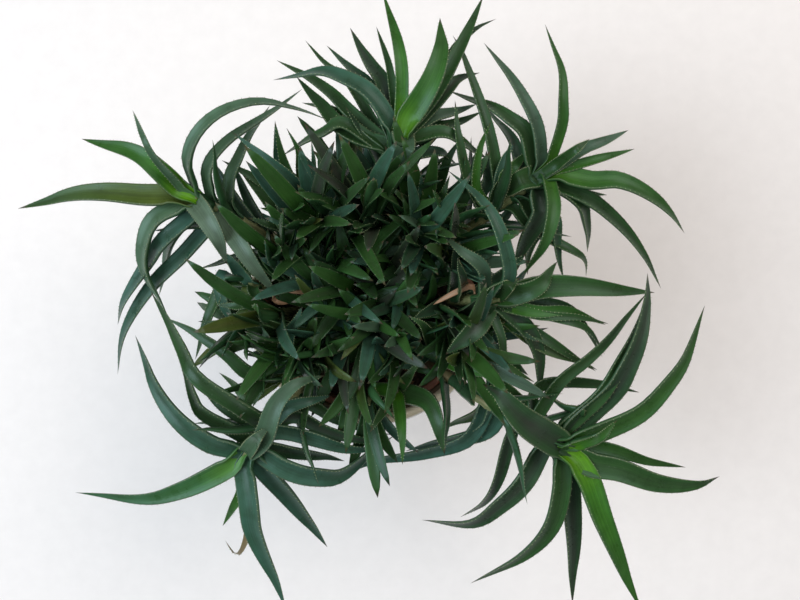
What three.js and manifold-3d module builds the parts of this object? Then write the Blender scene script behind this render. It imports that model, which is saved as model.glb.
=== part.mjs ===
// A potted clump of slender-leaved aloe: large leafy stems that arch out over the rim of a
// white pot, smaller ones between them, and a dense mound of young offsets in the middle.
// Millimetres, +Z up. The origin is the centre of the pot's base, on the surface it stands on.

import * as THREE from "three";
import { mergeVertices } from "three/addons/utils/BufferGeometryUtils.js";
import Module from "manifold-3d";

const wasm = await Module();
wasm.setup();

const up = new THREE.Vector3(0, 0, 1);
const vec = (x, y, z) => new THREE.Vector3(x, y, z);
const radians = THREE.MathUtils.degToRad;

// Pot, inner pot and soil

const potHeight = 165;
const potRadius = 100;
const potBaseRadius = 74;
const potSides = 28;
const innerPotRadius = 84;
const innerPotSides = 24;
const soilTop = 143;
const gap = 0.3;

// The leafy stems were read from above. Their places are given on the level of the pot's rim,
// as seen from this point, and alongSight finds the real point at another height.

const eye = vec(26, 2, 805);

function alongSight(x, y, z) {
  const share = (eye.z - z) / (eye.z - potHeight);
  return vec(eye.x + (x - eye.x) * share, eye.y + (y - eye.y) * share, z);
}

// Each plant has the place of its stem in the soil, the stem's further points, the rise of the
// rosette's axis above level in degrees, and its leaves. A leaf has the distance of its root
// below the crown, its width, the height it arches by, the height of its tip, and its course.

const plants = {
  left_plant: {
    hole: [-50, 32],
    stem: [[-70, 45, 174], [-92, 59, 194], [-120, 75, 210], [-149, 87, 218]],
    rise: 38,
    leaves: [
      [2, 14, 14, 196, [-174, 87], [-214, 90], [-246, 87], [-280, 75]],
      [4, 13, 22, 222, [-166, 105], [-190, 122], [-229, 131]],
      [6, 9, 30, 240, [-170, 114], [-181, 134], [-188, 154]],
      [16, 12, 34, 214, [-147, 110], [-140, 135], [-118, 155], [-86, 164], [-55, 158], [-29, 145]],
      [26, 11, 26, 196, [-130, 106], [-114, 130], [-85, 150], [-52, 171]],
      [38, 11, 20, 188, [-112, 98], [-104, 118], [-94, 138], [-78, 158]],
      [12, 13, 16, 176, [-170, 70], [-182, 48], [-181, 20], [-157, -18]],
      [20, 12, 14, 150, [-162, 50], [-174, 33], [-194, 2], [-200, -18]],
      [32, 12, 12, 132, [-146, 42], [-178, 10], [-199, -27], [-200, -58]],
      [14, 10, 8, 150, [-157, 54], [-164, 34], [-167, 5]],
      [8, 14, 20, 214, [-132, 70], [-120, 49], [-112, 30]],
      [24, 15, 24, 206, [-106, 50], [-90, 26], [-70, 3]],
    ],
  },
  low_left_plant: {
    hole: [-34, -48],
    stem: [[-46, -62, 174], [-62, -82, 190], [-82, -104, 198], [-102, -126, 200]],
    rise: 42,
    leaves: [
      [2, 15, 12, 170, [-122, -138], [-150, -151], [-182, -158], [-234, -152]],
      [10, 14, 24, 186, [-126, -115], [-155, -94], [-176, -62], [-186, -26]],
      [18, 11, 18, 178, [-130, -92], [-142, -76], [-153, -39]],
      [34, 12, 30, 182, [-102, -86], [-138, -62], [-152, -36], [-174, 10]],
      [28, 9, 14, 176, [-114, -86], [-130, -71], [-140, -58]],
      [14, 15, 18, 168, [-66, -135], [-38, -142], [-14, -138], [22, -106]],
      [4, 15, 14, 168, [-96, -166], [-90, -194], [-65, -246]],
      [10, 15, 8, 146, [-80, -138], [-66, -154], [-50, -174], [-32, -196]],
      [6, 8, 6, 168, [-101, -150], [-109, -166], [-116, -179]],
      [20, 7, -4, 128, [-98, -158], [-97, -186], [-105, -203], [-114, -190]],
      [6, 14, 34, 214, [-85, -110], [-74, -82], [-54, -63], [-33, -58]],
      [4, 11, 26, 224, [-90, -110], [-76, -96]],
      [30, 10, 16, 196, [-66, -86], [-46, -79], [-28, -74]],
      [26, 11, 14, 178, [-70, -104], [-46, -110], [-14, -119], [14, -118]],
      [20, 11, 8, 172, [-76, -118], [-46, -124], [-18, -127]],
    ],
  },
  low_right_plant: {
    hole: [44, -42],
    stem: [[60, -56, 174], [86, -74, 194], [124, -98, 206], [162, -118, 210]],
    rise: 46,
    leaves: [
      [2, 15, 16, 178, [178, -142], [190, -174], [203, -206], [219, -246]],
      [12, 15, 8, 150, [162, -142], [166, -174], [167, -206], [164, -242]],
      [8, 14, 14, 160, [155, -150], [146, -182], [122, -206], [82, -225]],
      [20, 14, 14, 158, [126, -142], [106, -162], [82, -177], [43, -174]],
      [46, 9, 6, 142, [106, -142], [92, -164], [74, -172]],
      [4, 20, 34, 238, [130, -98], [106, -74], [92, -65]],
      [6, 16, 14, 186, [178, -130], [202, -135], [234, -146], [266, -148], [282, -139]],
      [8, 14, 22, 204, [182, -106], [218, -90], [242, -66], [258, -42], [270, -2]],
      [12, 16, 30, 216, [194, -78], [210, -54], [222, -26], [227, 2], [224, 24]],
      [34, 9, 20, 196, [154, -66], [178, -46], [198, -26], [224, 8]],
      [2, 11, 20, 234, [186, -110], [200, -94]],
      [14, 9, 8, 184, [194, -118], [226, -128], [255, -132]],
      [30, 9, 10, 178, [138, -68], [186, -66], [218, -72]],
    ],
  },
  right_plant: {
    hole: [50, 34],
    stem: [[66, 46, 174], [88, 64, 194], [118, 87, 212], [148, 108, 220]],
    rise: 42,
    leaves: [
      [4, 13, 18, 192, [178, 100], [202, 100], [226, 90], [246, 74], [254, 55]],
      [6, 10, 26, 226, [156, 138], [158, 162], [156, 190], [142, 223]],
      [10, 11, 20, 204, [138, 138], [126, 166], [110, 190], [93, 208]],
      [6, 11, 12, 214, [170, 122], [190, 130], [209, 138]],
      [3, 12, 22, 238, [166, 122], [178, 131]],
      [8, 7, 10, 206, [186, 116], [214, 123]],
      [14, 11, 12, 170, [166, 86], [186, 74], [210, 50], [235, 11]],
      [10, 12, 8, 182, [166, 82], [172, 66], [176, 40]],
      [6, 10, 24, 214, [150, 82], [147, 58], [138, 38], [123, 20]],
      [16, 16, 14, 198, [142, 74], [130, 50], [118, 22]],
      [16, 12, 20, 200, [130, 134], [114, 150], [94, 162], [64, 170]],
      [26, 9, 10, 186, [118, 130], [94, 158]],
      [10, 15, 18, 212, [122, 98], [102, 82]],
      [12, 7, 4, 194, [170, 90], [192, 86]],
      [40, 8, 10, 178, [132, 60], [166, 42], [176, 33], [175, 20]],
      [46, 9, 16, 214, [103, 114], [95, 150], [78, 198], [68, 214]],
    ],
  },
  top_plant: {
    hole: [10, 60],
    stem: [[13, 78, 176], [17, 98, 202], [22, 120, 222], [28, 142, 230]],
    rise: 46,
    leaves: [
      [2, 15, 22, 228, [42, 162], [54, 186], [60, 210], [58, 228]],
      [6, 9, 16, 214, [28, 178], [26, 202], [20, 226], [12, 249]],
      [8, 6, 10, 208, [19, 182], [14, 202], [7, 221]],
      [12, 12, 12, 196, [14, 174], [2, 194], [-14, 220]],
      [10, 12, 20, 206, [6, 166], [-18, 182], [-42, 188], [-76, 178]],
      [16, 9, 8, 188, [4, 172], [-14, 190], [-33, 206]],
      [20, 10, 10, 186, [-14, 154], [-30, 170], [-50, 184], [-73, 194]],
      [24, 7, 4, 182, [-14, 176], [-34, 193], [-50, 210]],
      [8, 11, 14, 206, [54, 170], [70, 198], [82, 222], [93, 246]],
      [14, 9, 8, 194, [58, 178], [70, 204], [86, 220], [103, 227]],
      [12, 11, 14, 212, [62, 170], [75, 182], [90, 184]],
      [12, 10, 16, 206, [58, 138], [78, 130], [98, 114]],
      [26, 9, 12, 200, [42, 121], [62, 121], [72, 110]],
      [4, 14, 20, 226, [30, 124], [14, 100]],
    ],
  },
  mid_right_plant: {
    hole: [60, 2],
    stem: [[70, 2, 182], [86, 2, 208], [106, 2, 224]],
    rise: 56,
    leaves: [
      [4, 15, 14, 206, [138, 12], [170, 13], [202, 10], [230, 8]],
      [6, 14, 16, 222, [128, 8], [144, 18], [152, 33]],
      [10, 13, 18, 232, [112, 12], [122, 20]],
      [6, 12, 18, 204, [126, -18], [138, -38], [140, -62], [138, -79]],
      [8, 15, 20, 226, [90, -18], [74, -34], [62, -42]],
      [8, 10, 30, 232, [114, 18], [112, 42], [102, 70], [86, 90], [64, 106]],
      [12, 7, 8, 206, [107, -26], [110, -46], [115, -66]],
      [10, 7, 8, 200, [138, -10], [170, -12], [193, -17]],
      [16, 9, 4, 184, [138, -34], [170, -47], [184, -54]],
      [14, 7, 10, 190, [150, -12], [178, -22], [190, -42]],
      [14, 10, 20, 232, [94, 26], [76, 42], [59, 56]],
    ],
  },
  low_mid_plant: {
    hole: [62, -20],
    stem: [[74, -34, 176], [92, -52, 190], [112, -70, 194]],
    rise: 50,
    leaves: [
      [4, 15, 12, 162, [98, -102], [66, -114], [30, -119]],
      [8, 11, 10, 158, [90, -90], [59, -102]],
      [12, 12, 6, 146, [84, -108], [46, -123], [2, -130], [-22, -140]],
      [6, 9, 12, 190, [128, -84], [146, -92]],
    ],
  },
  low_left_small_plant: {
    hole: [-50, -30],
    stem: [[-60, -42, 168], [-66, -52, 182], [-70, -60, 190]],
    rise: 56,
    leaves: [
      [2, 12, 14, 216, [-65, -30], [-58, -16], [-52, -2]],
      [6, 11, 10, 194, [-86, -34], [-104, -36], [-120, -44]],
      [4, 10, 16, 186, [-94, -58], [-114, -42], [-138, -26], [-162, -12]],
      [6, 12, 10, 190, [-90, -74], [-102, -74], [-119, -56]],
      [4, 9, 12, 206, [-84, -66], [-92, -84]],
    ],
  },
  left_small_plant: {
    hole: [-66, 2],
    stem: [[-82, 10, 176], [-94, 16, 186], [-102, 20, 190]],
    rise: 50,
    leaves: [
      [4, 9, 10, 166, [-116, 14], [-125, -2], [-134, -26], [-138, -46]],
      [2, 11, 12, 172, [-118, 22], [-118, 2], [-109, -18], [-96, -32]],
      [6, 8, 6, 184, [-100, -8], [-118, -16], [-136, -15]],
      [8, 8, 10, 194, [-90, 4], [-104, -2], [-122, -2]],
      [4, 10, 14, 214, [-108, 30], [-118, 42]],
    ],
  },
  north_west_offset: {
    hole: [-40, 58],
    stem: [[-44, 62, 160], [-50, 70, 174]],
    rise: 60,
    leaves: [
      [2, 9, 12, 222, [-56, 92], [-82, 116], [-109, 137]],
      [4, 9, 10, 210, [-72, 88], [-94, 102], [-117, 114]],
      [3, 8, 12, 226, [-62, 98], [-70, 122], [-74, 145]],
      [4, 11, 16, 214, [-62, 60], [-78, 64], [-96, 68]],
    ],
  },
  south_offset: {
    hole: [20, -62],
    stem: [[22, -66, 160], [24, -72, 172]],
    rise: 66,
    leaves: [
      [2, 9, 16, 206, [26, -88], [28, -110], [28, -130]],
      [2, 10, 18, 222, [6, -70], [14, -82], [22, -94]],
      [3, 14, 18, 200, [46, -78], [56, -100], [62, -122]],
      [4, 9, 14, 208, [10, -92], [2, -104]],
      [3, 9, 18, 214, [34, -58], [44, -44]],
    ],
  },
  south_east_offset: {
    hole: [44, -28],
    stem: [[48, -32, 162], [54, -38, 178]],
    rise: 62,
    leaves: [
      [2, 12, 22, 214, [72, -50], [92, -56], [114, -64]],
      [3, 9, 18, 210, [90, -40], [110, -50], [134, -64]],
      [3, 9, 20, 226, [46, -20], [32, -10]],
      [4, 9, 16, 214, [38, -50], [22, -52]],
    ],
  },
  north_offset: {
    hole: [38, 62],
    stem: [[40, 66, 162], [44, 72, 176]],
    rise: 62,
    leaves: [
      [2, 9, 22, 228, [44, 84], [43, 106]],
      [3, 9, 18, 216, [58, 84], [66, 102]],
      [3, 9, 20, 224, [30, 84], [16, 94]],
      [4, 9, 14, 214, [64, 66], [84, 60]],
    ],
  },
};

const stemRadius = 4.5;
const smallStemRadius = 3;
const manyLeaves = 10;
const soilGrip = 25;
const collarHeight = 4;
const olderLeaves = 5;
const oldestRoot = 50;
const youngestRoot = 36;

// A mound of young offsets fills the middle of the pot, set out as seeds are in a sunflower.
// Their crowns lean outwards, the more so the further out they stand.

const offsetCount = 54;
const offsetSpread = 9.6;
const offsetRoom = 11;
const offsetEdge = 72;
const offsetStemRadius = 2.2;
const offsetLeaves = 7;
const fewestLeaves = 4;
const leafTries = 9;
const leafRecurve = 11;
const goldenAngle = radians(137.508);
const leanAtCentre = 5;
const leanPerMillimetre = 0.78;
const crownSpread = 0.36;
const moundSeed = 7;

let randomState = moundSeed;

function nextRandom() {
  randomState = (randomState * 16807) % 2147483647;
  return randomState / 2147483647;
}

const between = (low, high) => low + (high - low) * nextRandom();

// Smooth courses

function curveThrough(points) {
  const curve = new THREE.CatmullRomCurve3(points, false, "catmullrom", 0.5);
  return curve.getPoints(40);
}

function lengthsAlong(line) {
  const lengths = [0];
  for (let i = 1; i < line.length; i++) {
    lengths.push(lengths[i - 1] + line[i].distanceTo(line[i - 1]));
  }
  return lengths;
}

function pointAt(line, lengths, distance) {
  let i = 1;
  while (i < line.length - 1 && lengths[i] < distance) {
    i++;
  }
  const share = (distance - lengths[i - 1]) / (lengths[i] - lengths[i - 1]);
  return line[i - 1].clone().lerp(line[i], share);
}

function evenPoints(line, count) {
  const lengths = lengthsAlong(line);
  const total = lengths.at(-1);
  const points = [];
  for (let i = 0; i <= count; i++) {
    points.push(pointAt(line, lengths, (total * i) / count));
  }
  return points;
}

function tangentsOf(points) {
  return points.map((point, i) => {
    const before = points[Math.max(i - 1, 0)];
    const after = points[Math.min(i + 1, points.length - 1)];
    return after.clone().sub(before).normalize();
  });
}

// A leaf opens out from its root in the stem, then narrows to a long point. The widths read
// from above are of blades that lean away, so they are given back what the lean hides.

const leanShare = 1.15;
const readLeafRoot = 0.36;
const grownLeafRoot = 0.24;
const widestPlace = 0.22;

function leafWidth(leaf, t) {
  const opening = leaf.root + (1 - leaf.root) * Math.min(t / widestPlace, 1);
  return leaf.width * opening * (1 - t * t);
}

function leafFrames(leaf, places) {
  const lengths = lengthsAlong(leaf.line);
  const total = lengths.at(-1);
  const points = places.map((t) => pointAt(leaf.line, lengths, total * t));
  const tangents = tangentsOf(points);
  return points.map((point, i) => {
    const tangent = tangents[i];
    const across = leaf.across.clone();
    across.addScaledVector(tangent, -across.dot(tangent)).normalize();
    const upper = tangent.clone().cross(across);
    return { point, across, upper, width: leafWidth(leaf, places[i]) };
  });
}

// Clearance: leaves of different plants keep apart. Each blade is sampled along its middle and
// near both margins, and each stem along its axis.

const sampleStep = 5;
const sampleSides = [-0.36, 0, 0.36];
const rootRows = 2;
const bladeRoom = 2.2;
const stemRoom = 0.6;
const nearby = 9;
const occupied = [];

function evenly(count) {
  return Array.from({ length: count + 1 }, (_, i) => i / count);
}

function bladeSamples(leaf) {
  const total = lengthsAlong(leaf.line).at(-1);
  const samples = [];
  for (const frame of leafFrames(leaf, evenly(Math.ceil(total / sampleStep)))) {
    for (const side of sampleSides) {
      const place = frame.point.clone().addScaledVector(frame.across, side * frame.width);
      samples.push({ place, room: bladeRoom });
    }
  }
  return samples;
}

function stemSamples(line, radius) {
  const lengths = lengthsAlong(line);
  const count = Math.ceil(lengths.at(-1) / sampleStep);
  return evenPoints(line, count).map((place) => ({ place, room: radius + stemRoom }));
}

function boundsOf(samples) {
  return new THREE.Box3().setFromPoints(samples.map((sample) => sample.place));
}

const potRoom = 5;

function clearOfPot(samples) {
  return samples.every(({ place }) => {
    const radius = Math.hypot(place.x, place.y);
    const outside = place.z > potHeight + potRoom || radius > potRadius + potRoom;
    return outside || (radius < innerPotRadius - 8 && place.z > soilTop + 3);
  });
}

function clearOfOthers(samples, plant) {
  const box = boundsOf(samples).expandByScalar(nearby);
  for (const other of occupied) {
    if (other.plant === plant || !other.box.intersectsBox(box)) {
      continue;
    }
    for (const mine of samples) {
      for (const theirs of other.samples) {
        if (mine.place.distanceTo(theirs.place) < mine.room + theirs.room) {
          return false;
        }
      }
    }
  }
  return true;
}

function keep(plant, samples) {
  occupied.push({ plant, samples, box: boundsOf(samples) });
}

// Stems

const collarOf = (hole) => vec(hole[0], hole[1], soilTop + collarHeight);

function axisOf(line, rise) {
  const top = line.at(-1);
  const outward = top.clone().sub(line[0]);
  outward.z = 0;
  outward.normalize();
  return outward.multiplyScalar(Math.cos(radians(rise))).addScaledVector(up, Math.sin(radians(rise)));
}

function placeIfClear(plant, leaf) {
  const samples = bladeSamples(leaf);
  const free = samples.slice(rootRows * sampleSides.length);
  const clear = clearOfPot(free) && clearOfOthers(free, plant.name);
  if (clear) {
    keep(plant.name, samples);
    plant.leaves.push(leaf);
  }
  return clear;
}

// The leaves that were read from above. A leaf that would touch another plant's is raised or
// lowered until it is clear, along the line of sight, so from above it stays in place.

const shifts = [0, 5, -5, 10, -10, 15, -15, 20, -20, 25, -25, 30, -30, 35, -35, 40, 45, 50];

function readLeaf(plant, [down, width, arch, tipHeight, ...course], shift) {
  const root = pointAt(plant.line, plant.lengths, plant.lengths.at(-1) - down);
  const steps = course.length;
  const points = [root];
  course.forEach(([x, y], i) => {
    const t = (i + 1) / steps;
    const level = root.z + (tipHeight + shift * 0.8 - root.z) * t;
    points.push(alongSight(x, y, level + (arch + shift) * 4 * t * (1 - t)));
  });
  const outward = points[steps].clone().add(points[1]).multiplyScalar(0.5).sub(root);
  const across = plant.axis.clone().add(up).cross(outward).normalize();
  return { width: width * leanShare, across, root: readLeafRoot, line: curveThrough(points) };
}

function placeReadLeaf(plant, numbers) {
  for (const shift of shifts) {
    const leaf = readLeaf(plant, numbers, shift);
    if (placeIfClear(plant, leaf)) {
      return;
    }
  }
}

function readPlant(name, { hole, stem, rise, leaves }) {
  const points = stem.map(([x, y, z]) => alongSight(x, y, z));
  const line = curveThrough([collarOf(hole), ...points]);
  const radius = leaves.length > manyLeaves ? stemRadius : smallStemRadius;
  const plant = { name, hole, line, radius, sides: 6, leaves: [], lengths: lengthsAlong(line) };
  plant.axis = axisOf(line, rise);
  keep(name, stemSamples(line, radius));
  return { plant, leaves };
}

// The offsets of the mound

function growLeaf(root, axis, turn, tilt, length, width) {
  const side = vec(Math.cos(turn), Math.sin(turn), 0);
  side.addScaledVector(axis, -side.dot(axis)).normalize();
  const points = [root];
  for (let i = 0; i < 3; i++) {
    const angle = radians(tilt + i * leafRecurve);
    const step = axis.clone().multiplyScalar(Math.cos(angle));
    step.addScaledVector(side, Math.sin(angle)).multiplyScalar(length / 3);
    points.push(points[i].clone().add(step));
  }
  const across = axis.clone().cross(side).normalize();
  return { width, across, root: grownLeafRoot, line: curveThrough(points) };
}

function growOffset(index) {
  const distance = offsetSpread * Math.sqrt(index + 0.4);
  const around = index * goldenAngle;
  const hole = [distance * Math.cos(around) + 2, distance * Math.sin(around)];
  const outward = vec(Math.cos(around), Math.sin(around), 0);
  const lean = radians(leanAtCentre + leanPerMillimetre * distance + between(-6, 6));
  const height = between(10, 34) + 0.27 * distance;
  const crown = collarOf(hole).addScaledVector(up, height);
  crown.addScaledVector(outward, crownSpread * distance);
  const line = curveThrough([collarOf(hole), crown]);
  const plant = { name: index, hole, line, distance, leaves: [], lengths: lengthsAlong(line) };
  plant.radius = offsetStemRadius;
  plant.sides = 4;
  plant.axis = outward.multiplyScalar(Math.sin(lean)).addScaledVector(up, Math.cos(lean));
  const samples = stemSamples(line, plant.radius + 1);
  const inside = Math.hypot(hole[0], hole[1]) < offsetEdge;
  if (!inside || crowded(hole) || !clearOfPot(samples) || !clearOfOthers(samples, index)) {
    return null;
  }
  keep(index, samples);
  return plant;
}

function crowded(hole) {
  return Object.values(plants).some(({ hole: [x, y] }) => {
    return Math.hypot(hole[0] - x, hole[1] - y) < offsetRoom;
  });
}

function placeGrownLeaf(plant, root, axis, { turn, tilt, length, width }) {
  for (let attempt = 0; attempt < leafTries; attempt++) {
    const shorter = length - attempt * 3;
    const leaf = growLeaf(root, axis, turn + attempt * 0.9, tilt - attempt, shorter, width);
    if (placeIfClear(plant, leaf)) {
      return;
    }
  }
}

function growOffsetLeaves(plant) {
  for (let i = 0; i < offsetLeaves; i++) {
    const root = pointAt(plant.line, plant.lengths, plant.lengths.at(-1) - 1.8 * i);
    placeGrownLeaf(plant, root, plant.axis, {
      turn: i * goldenAngle + between(0, 1.2),
      tilt: 12 + 7 * i + between(-4, 4),
      length: between(64, 80) + 0.1 * plant.distance - 2 * i,
      width: between(9, 11),
    });
  }
}

// Older leaves clothe the stems of the large plants below those that were read.

function growOlderLeaves(plant) {
  const total = plant.lengths.at(-1);
  for (let i = 0; i < olderLeaves; i++) {
    const place = total - youngestRoot - i * ((total - oldestRoot) / olderLeaves);
    const root = pointAt(plant.line, plant.lengths, place);
    const axis = pointAt(plant.line, plant.lengths, place + 4).sub(root).normalize();
    placeGrownLeaf(plant, root, axis, {
      turn: i * goldenAngle + between(0, 1.2),
      tilt: 34 + between(-8, 8),
      length: between(62, 84),
      width: between(10, 12),
    });
  }
}

// Solids

function toManifold(geometry) {
  const bare = geometry.clone();
  bare.deleteAttribute("normal");
  bare.deleteAttribute("uv");
  const merged = mergeVertices(bare, 1e-4);
  const vertProperties = new Float32Array(merged.attributes.position.array);
  const triVerts = new Uint32Array(merged.index.array);
  return new wasm.Manifold(new wasm.Mesh({ numProp: 3, vertProperties, triVerts }));
}

function toGeometry(manifold) {
  const { vertProperties, triVerts } = manifold.getMesh();
  const geometry = new THREE.BufferGeometry();
  geometry.setAttribute("position", new THREE.BufferAttribute(vertProperties, 3));
  geometry.setIndex(new THREE.BufferAttribute(triVerts, 1));
  geometry.computeVertexNormals();
  return geometry;
}

// A leaf solid is a cone bent along the leaf's course: its margins are raised into a channel
// and its back is drawn out into a keel. Leaves that turn further take more rings. A tooth is a
// ring whose margins stand out between two close rings, in the true size of a tooth.

const channelRise = 0.16;
const keelDepth = 0.22;
const thinnestBlade = 0.7;
const turnPerRing = radians(32);
const fewestRings = 2;
const mostRings = 6;
const toothLength = 1.4;
const toothHalf = 1.1;

function totalTurn(leaf) {
  const tangents = tangentsOf(evenPoints(leaf.line, 12));
  return tangents.slice(1).reduce((sum, tangent, i) => sum + tangent.angleTo(tangents[i]), 0);
}

const keeledWidth = 14;

function teethPerSide(leaf) {
  if (leaf.width >= 16) {
    return 3;
  }
  return leaf.width >= 11.5 ? 1 : 0;
}

function leafRings(leaf) {
  const half = toothHalf / lengthsAlong(leaf.line).at(-1);
  const count = Math.min(mostRings, fewestRings + Math.floor(totalTurn(leaf) / turnPerRing));
  const firstTooth = Math.max(1, count - 1 - teethPerSide(leaf));
  const rings = [];
  evenly(count).forEach((t, i) => {
    if (i >= firstTooth && i < Math.min(firstTooth + teethPerSide(leaf), count)) {
      rings.push({ t: t - half, tooth: 0 }, { t, tooth: toothLength }, { t: t + half, tooth: 0 });
    } else {
      rings.push({ t, tooth: 0 });
    }
  });
  return rings;
}

function leafGeometry(leaf, sides) {
  const rings = leafRings(leaf);
  const last = rings.length - 1;
  const geometry = new THREE.ConeGeometry(1, 1, sides, last);
  const frames = leafFrames(leaf, rings.map(({ t }) => t));
  const position = geometry.attributes.position;
  const widest = sides === 3 ? Math.sin(Math.PI / 3) : 1;
  for (let i = 0; i < position.count; i++) {
    const height = position.getY(i) + 0.5;
    const ring = Math.round(height * last);
    const { point, across, upper, width } = frames[ring];
    const scale = ring === last ? 0 : 1 / (1 - height);
    const sine = (position.getX(i) * scale) / widest;
    const cosine = position.getZ(i) * scale;
    const depth = Math.max(keelDepth * width, thinnestBlade);
    const reach = sine * (width / 2 + rings[ring].tooth * sine * sine);
    const place = point.clone().addScaledVector(across, reach);
    place.addScaledVector(upper, channelRise * width * sine * sine - depth * Math.max(cosine, 0));
    position.setXYZ(i, place.x, place.y, place.z);
  }
  return geometry;
}

function stemGeometry(plant, sides, bends) {
  const rings = bends + 1;
  const geometry = new THREE.CylinderGeometry(1, 1, 1, sides, rings);
  const points = evenPoints(plant.line, bends);
  const tangents = tangentsOf(points);
  points.unshift(vec(plant.hole[0], plant.hole[1], soilTop - soilGrip));
  tangents.unshift(up);
  tangents[1] = up;
  const position = geometry.attributes.position;
  for (let i = 0; i < position.count; i++) {
    const ring = Math.round((position.getY(i) + 0.5) * rings);
    const tangent = tangents[ring];
    const across = vec(0, 1, 0).cross(tangent).normalize();
    const other = tangent.clone().cross(across);
    const place = points[ring].clone();
    place.addScaledVector(across, position.getX(i) * plant.radius);
    place.addScaledVector(other, -position.getZ(i) * plant.radius);
    position.setXYZ(i, place.x, place.y, place.z);
  }
  return geometry;
}

function holeGeometry({ hole, radius, sides }) {
  const wide = radius + gap / Math.cos(Math.PI / sides);
  const bottom = soilTop - soilGrip - gap;
  const top = soilTop + 2;
  const bore = new THREE.CylinderGeometry(wide, wide, top - bottom, sides);
  bore.rotateX(Math.PI / 2);
  bore.translate(hole[0], hole[1], (top + bottom) / 2);
  return bore;
}

const material = (colour, roughness, metalness = 0) =>
  new THREE.MeshStandardMaterial({ color: colour, roughness, metalness });

const leafGreen = material(0x2c5a34, 0.45);
const offsetGreen = material(0x2a5426, 0.5);
const glazed = material(0xf1ece0, 0.25);
const innerPotBrown = material(0x9a5a44, 0.6);
const soilBrown = material(0x2e241c, 0.95);

const group = new THREE.Group();

function addPiece(name, geometry, finish) {
  const mesh = new THREE.Mesh(geometry, finish);
  mesh.name = name;
  group.add(mesh);
}

function plantSolid(plant) {
  const large = plant.radius > offsetStemRadius;
  const parts = [stemGeometry(plant, plant.sides, large ? 4 : 1)];
  for (const leaf of plant.leaves) {
    parts.push(leafGeometry(leaf, leaf.width > keeledWidth ? 4 : 3));
  }
  return wasm.Manifold.union(parts.map(toManifold));
}

function latheAbout(outline, sides) {
  const points = outline.map(([radius, z]) => new THREE.Vector2(radius, z));
  const geometry = new THREE.LatheGeometry(points, sides);
  geometry.rotateX(Math.PI / 2);
  return geometry;
}

// The pot, with a flat base and a thick rounded rim

const potWall = 6;
const potFloor = 12;
addPiece("pot", latheAbout([
  [0, 0],
  [potBaseRadius - 2, 0],
  [potBaseRadius, 2],
  [potBaseRadius + 7, 40],
  [potRadius - 8, 110],
  [potRadius - 4, 143],
  [potRadius - 1, 148],
  [potRadius, 156],
  [potRadius - 1.5, 162],
  [potRadius - 5, potHeight],
  [potRadius - 9.5, 158],
  [potRadius - 8 - potWall, 110],
  [potBaseRadius - 4, potFloor],
  [0, potFloor],
], potSides), glazed);

// The thin inner pot stands on the floor of the outer one.

const innerPotBase = potFloor + gap;
const innerPotTop = 155;
const innerPotBaseRadius = 66;
const innerPotWall = 2;
addPiece("inner_pot", latheAbout([
  [0, innerPotBase],
  [innerPotBaseRadius, innerPotBase],
  [innerPotRadius, innerPotTop - 8],
  [innerPotRadius + 3.5, innerPotTop - 8],
  [innerPotRadius + 3.5, innerPotTop],
  [innerPotRadius - innerPotWall, innerPotTop],
  [innerPotBaseRadius - innerPotWall, innerPotBase + innerPotWall],
  [0, innerPotBase + innerPotWall],
], innerPotSides), innerPotBrown);

const grown = [];
const readPlants = Object.entries(plants).map(([name, numbers]) => readPlant(name, numbers));
for (const { plant, leaves } of readPlants) {
  leaves.forEach((numbers) => placeReadLeaf(plant, numbers));
}
for (const { plant } of readPlants) {
  if (plant.radius === stemRadius) {
    growOlderLeaves(plant);
  }
  grown.push({ plant, solid: plantSolid(plant) });
}
const offsets = Array.from({ length: offsetCount }, (_, index) => growOffset(index)).filter(Boolean);
offsets.forEach(growOffsetLeaves);
const leafyOffsets = offsets.filter((plant) => plant.leaves.length >= fewestLeaves);
leafyOffsets.forEach((plant, i) => {
  plant.name = `offset_${String(i + 1).padStart(2, "0")}`;
  grown.push({ plant, solid: plantSolid(plant) });
});

for (const { plant, solid } of grown) {
  addPiece(plant.name, toGeometry(solid), plant.radius > offsetStemRadius ? leafGreen : offsetGreen);
}

// The soil, with a plain hole round each stem

const soilFloor = innerPotBase + innerPotWall + gap;

function soilRadiusAt(z) {
  const share = (z - innerPotBase - innerPotWall) / (innerPotTop - innerPotBase - innerPotWall);
  const wall = innerPotBaseRadius + (innerPotRadius - innerPotBaseRadius) * share;
  return wall - innerPotWall - gap;
}

const soilBody = latheAbout([
  [0, soilFloor],
  [soilRadiusAt(soilFloor), soilFloor],
  [soilRadiusAt(soilTop), soilTop],
  [0, soilTop],
], innerPotSides);
const holes = grown.map(({ plant }) => toManifold(holeGeometry(plant)));
addPiece("soil", toGeometry(toManifold(soilBody).subtract(wasm.Manifold.union(holes))), soilBrown);

export default group;
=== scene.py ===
# A potted clump of slender-leaved aloe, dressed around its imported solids. The plants' places are
# read and grown in millimetres, as in the solids, and every mesh is made in metres.

import bmesh
import bpy
import math
import numpy as np
import random
from mathutils import Matrix, Vector, noise


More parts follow.
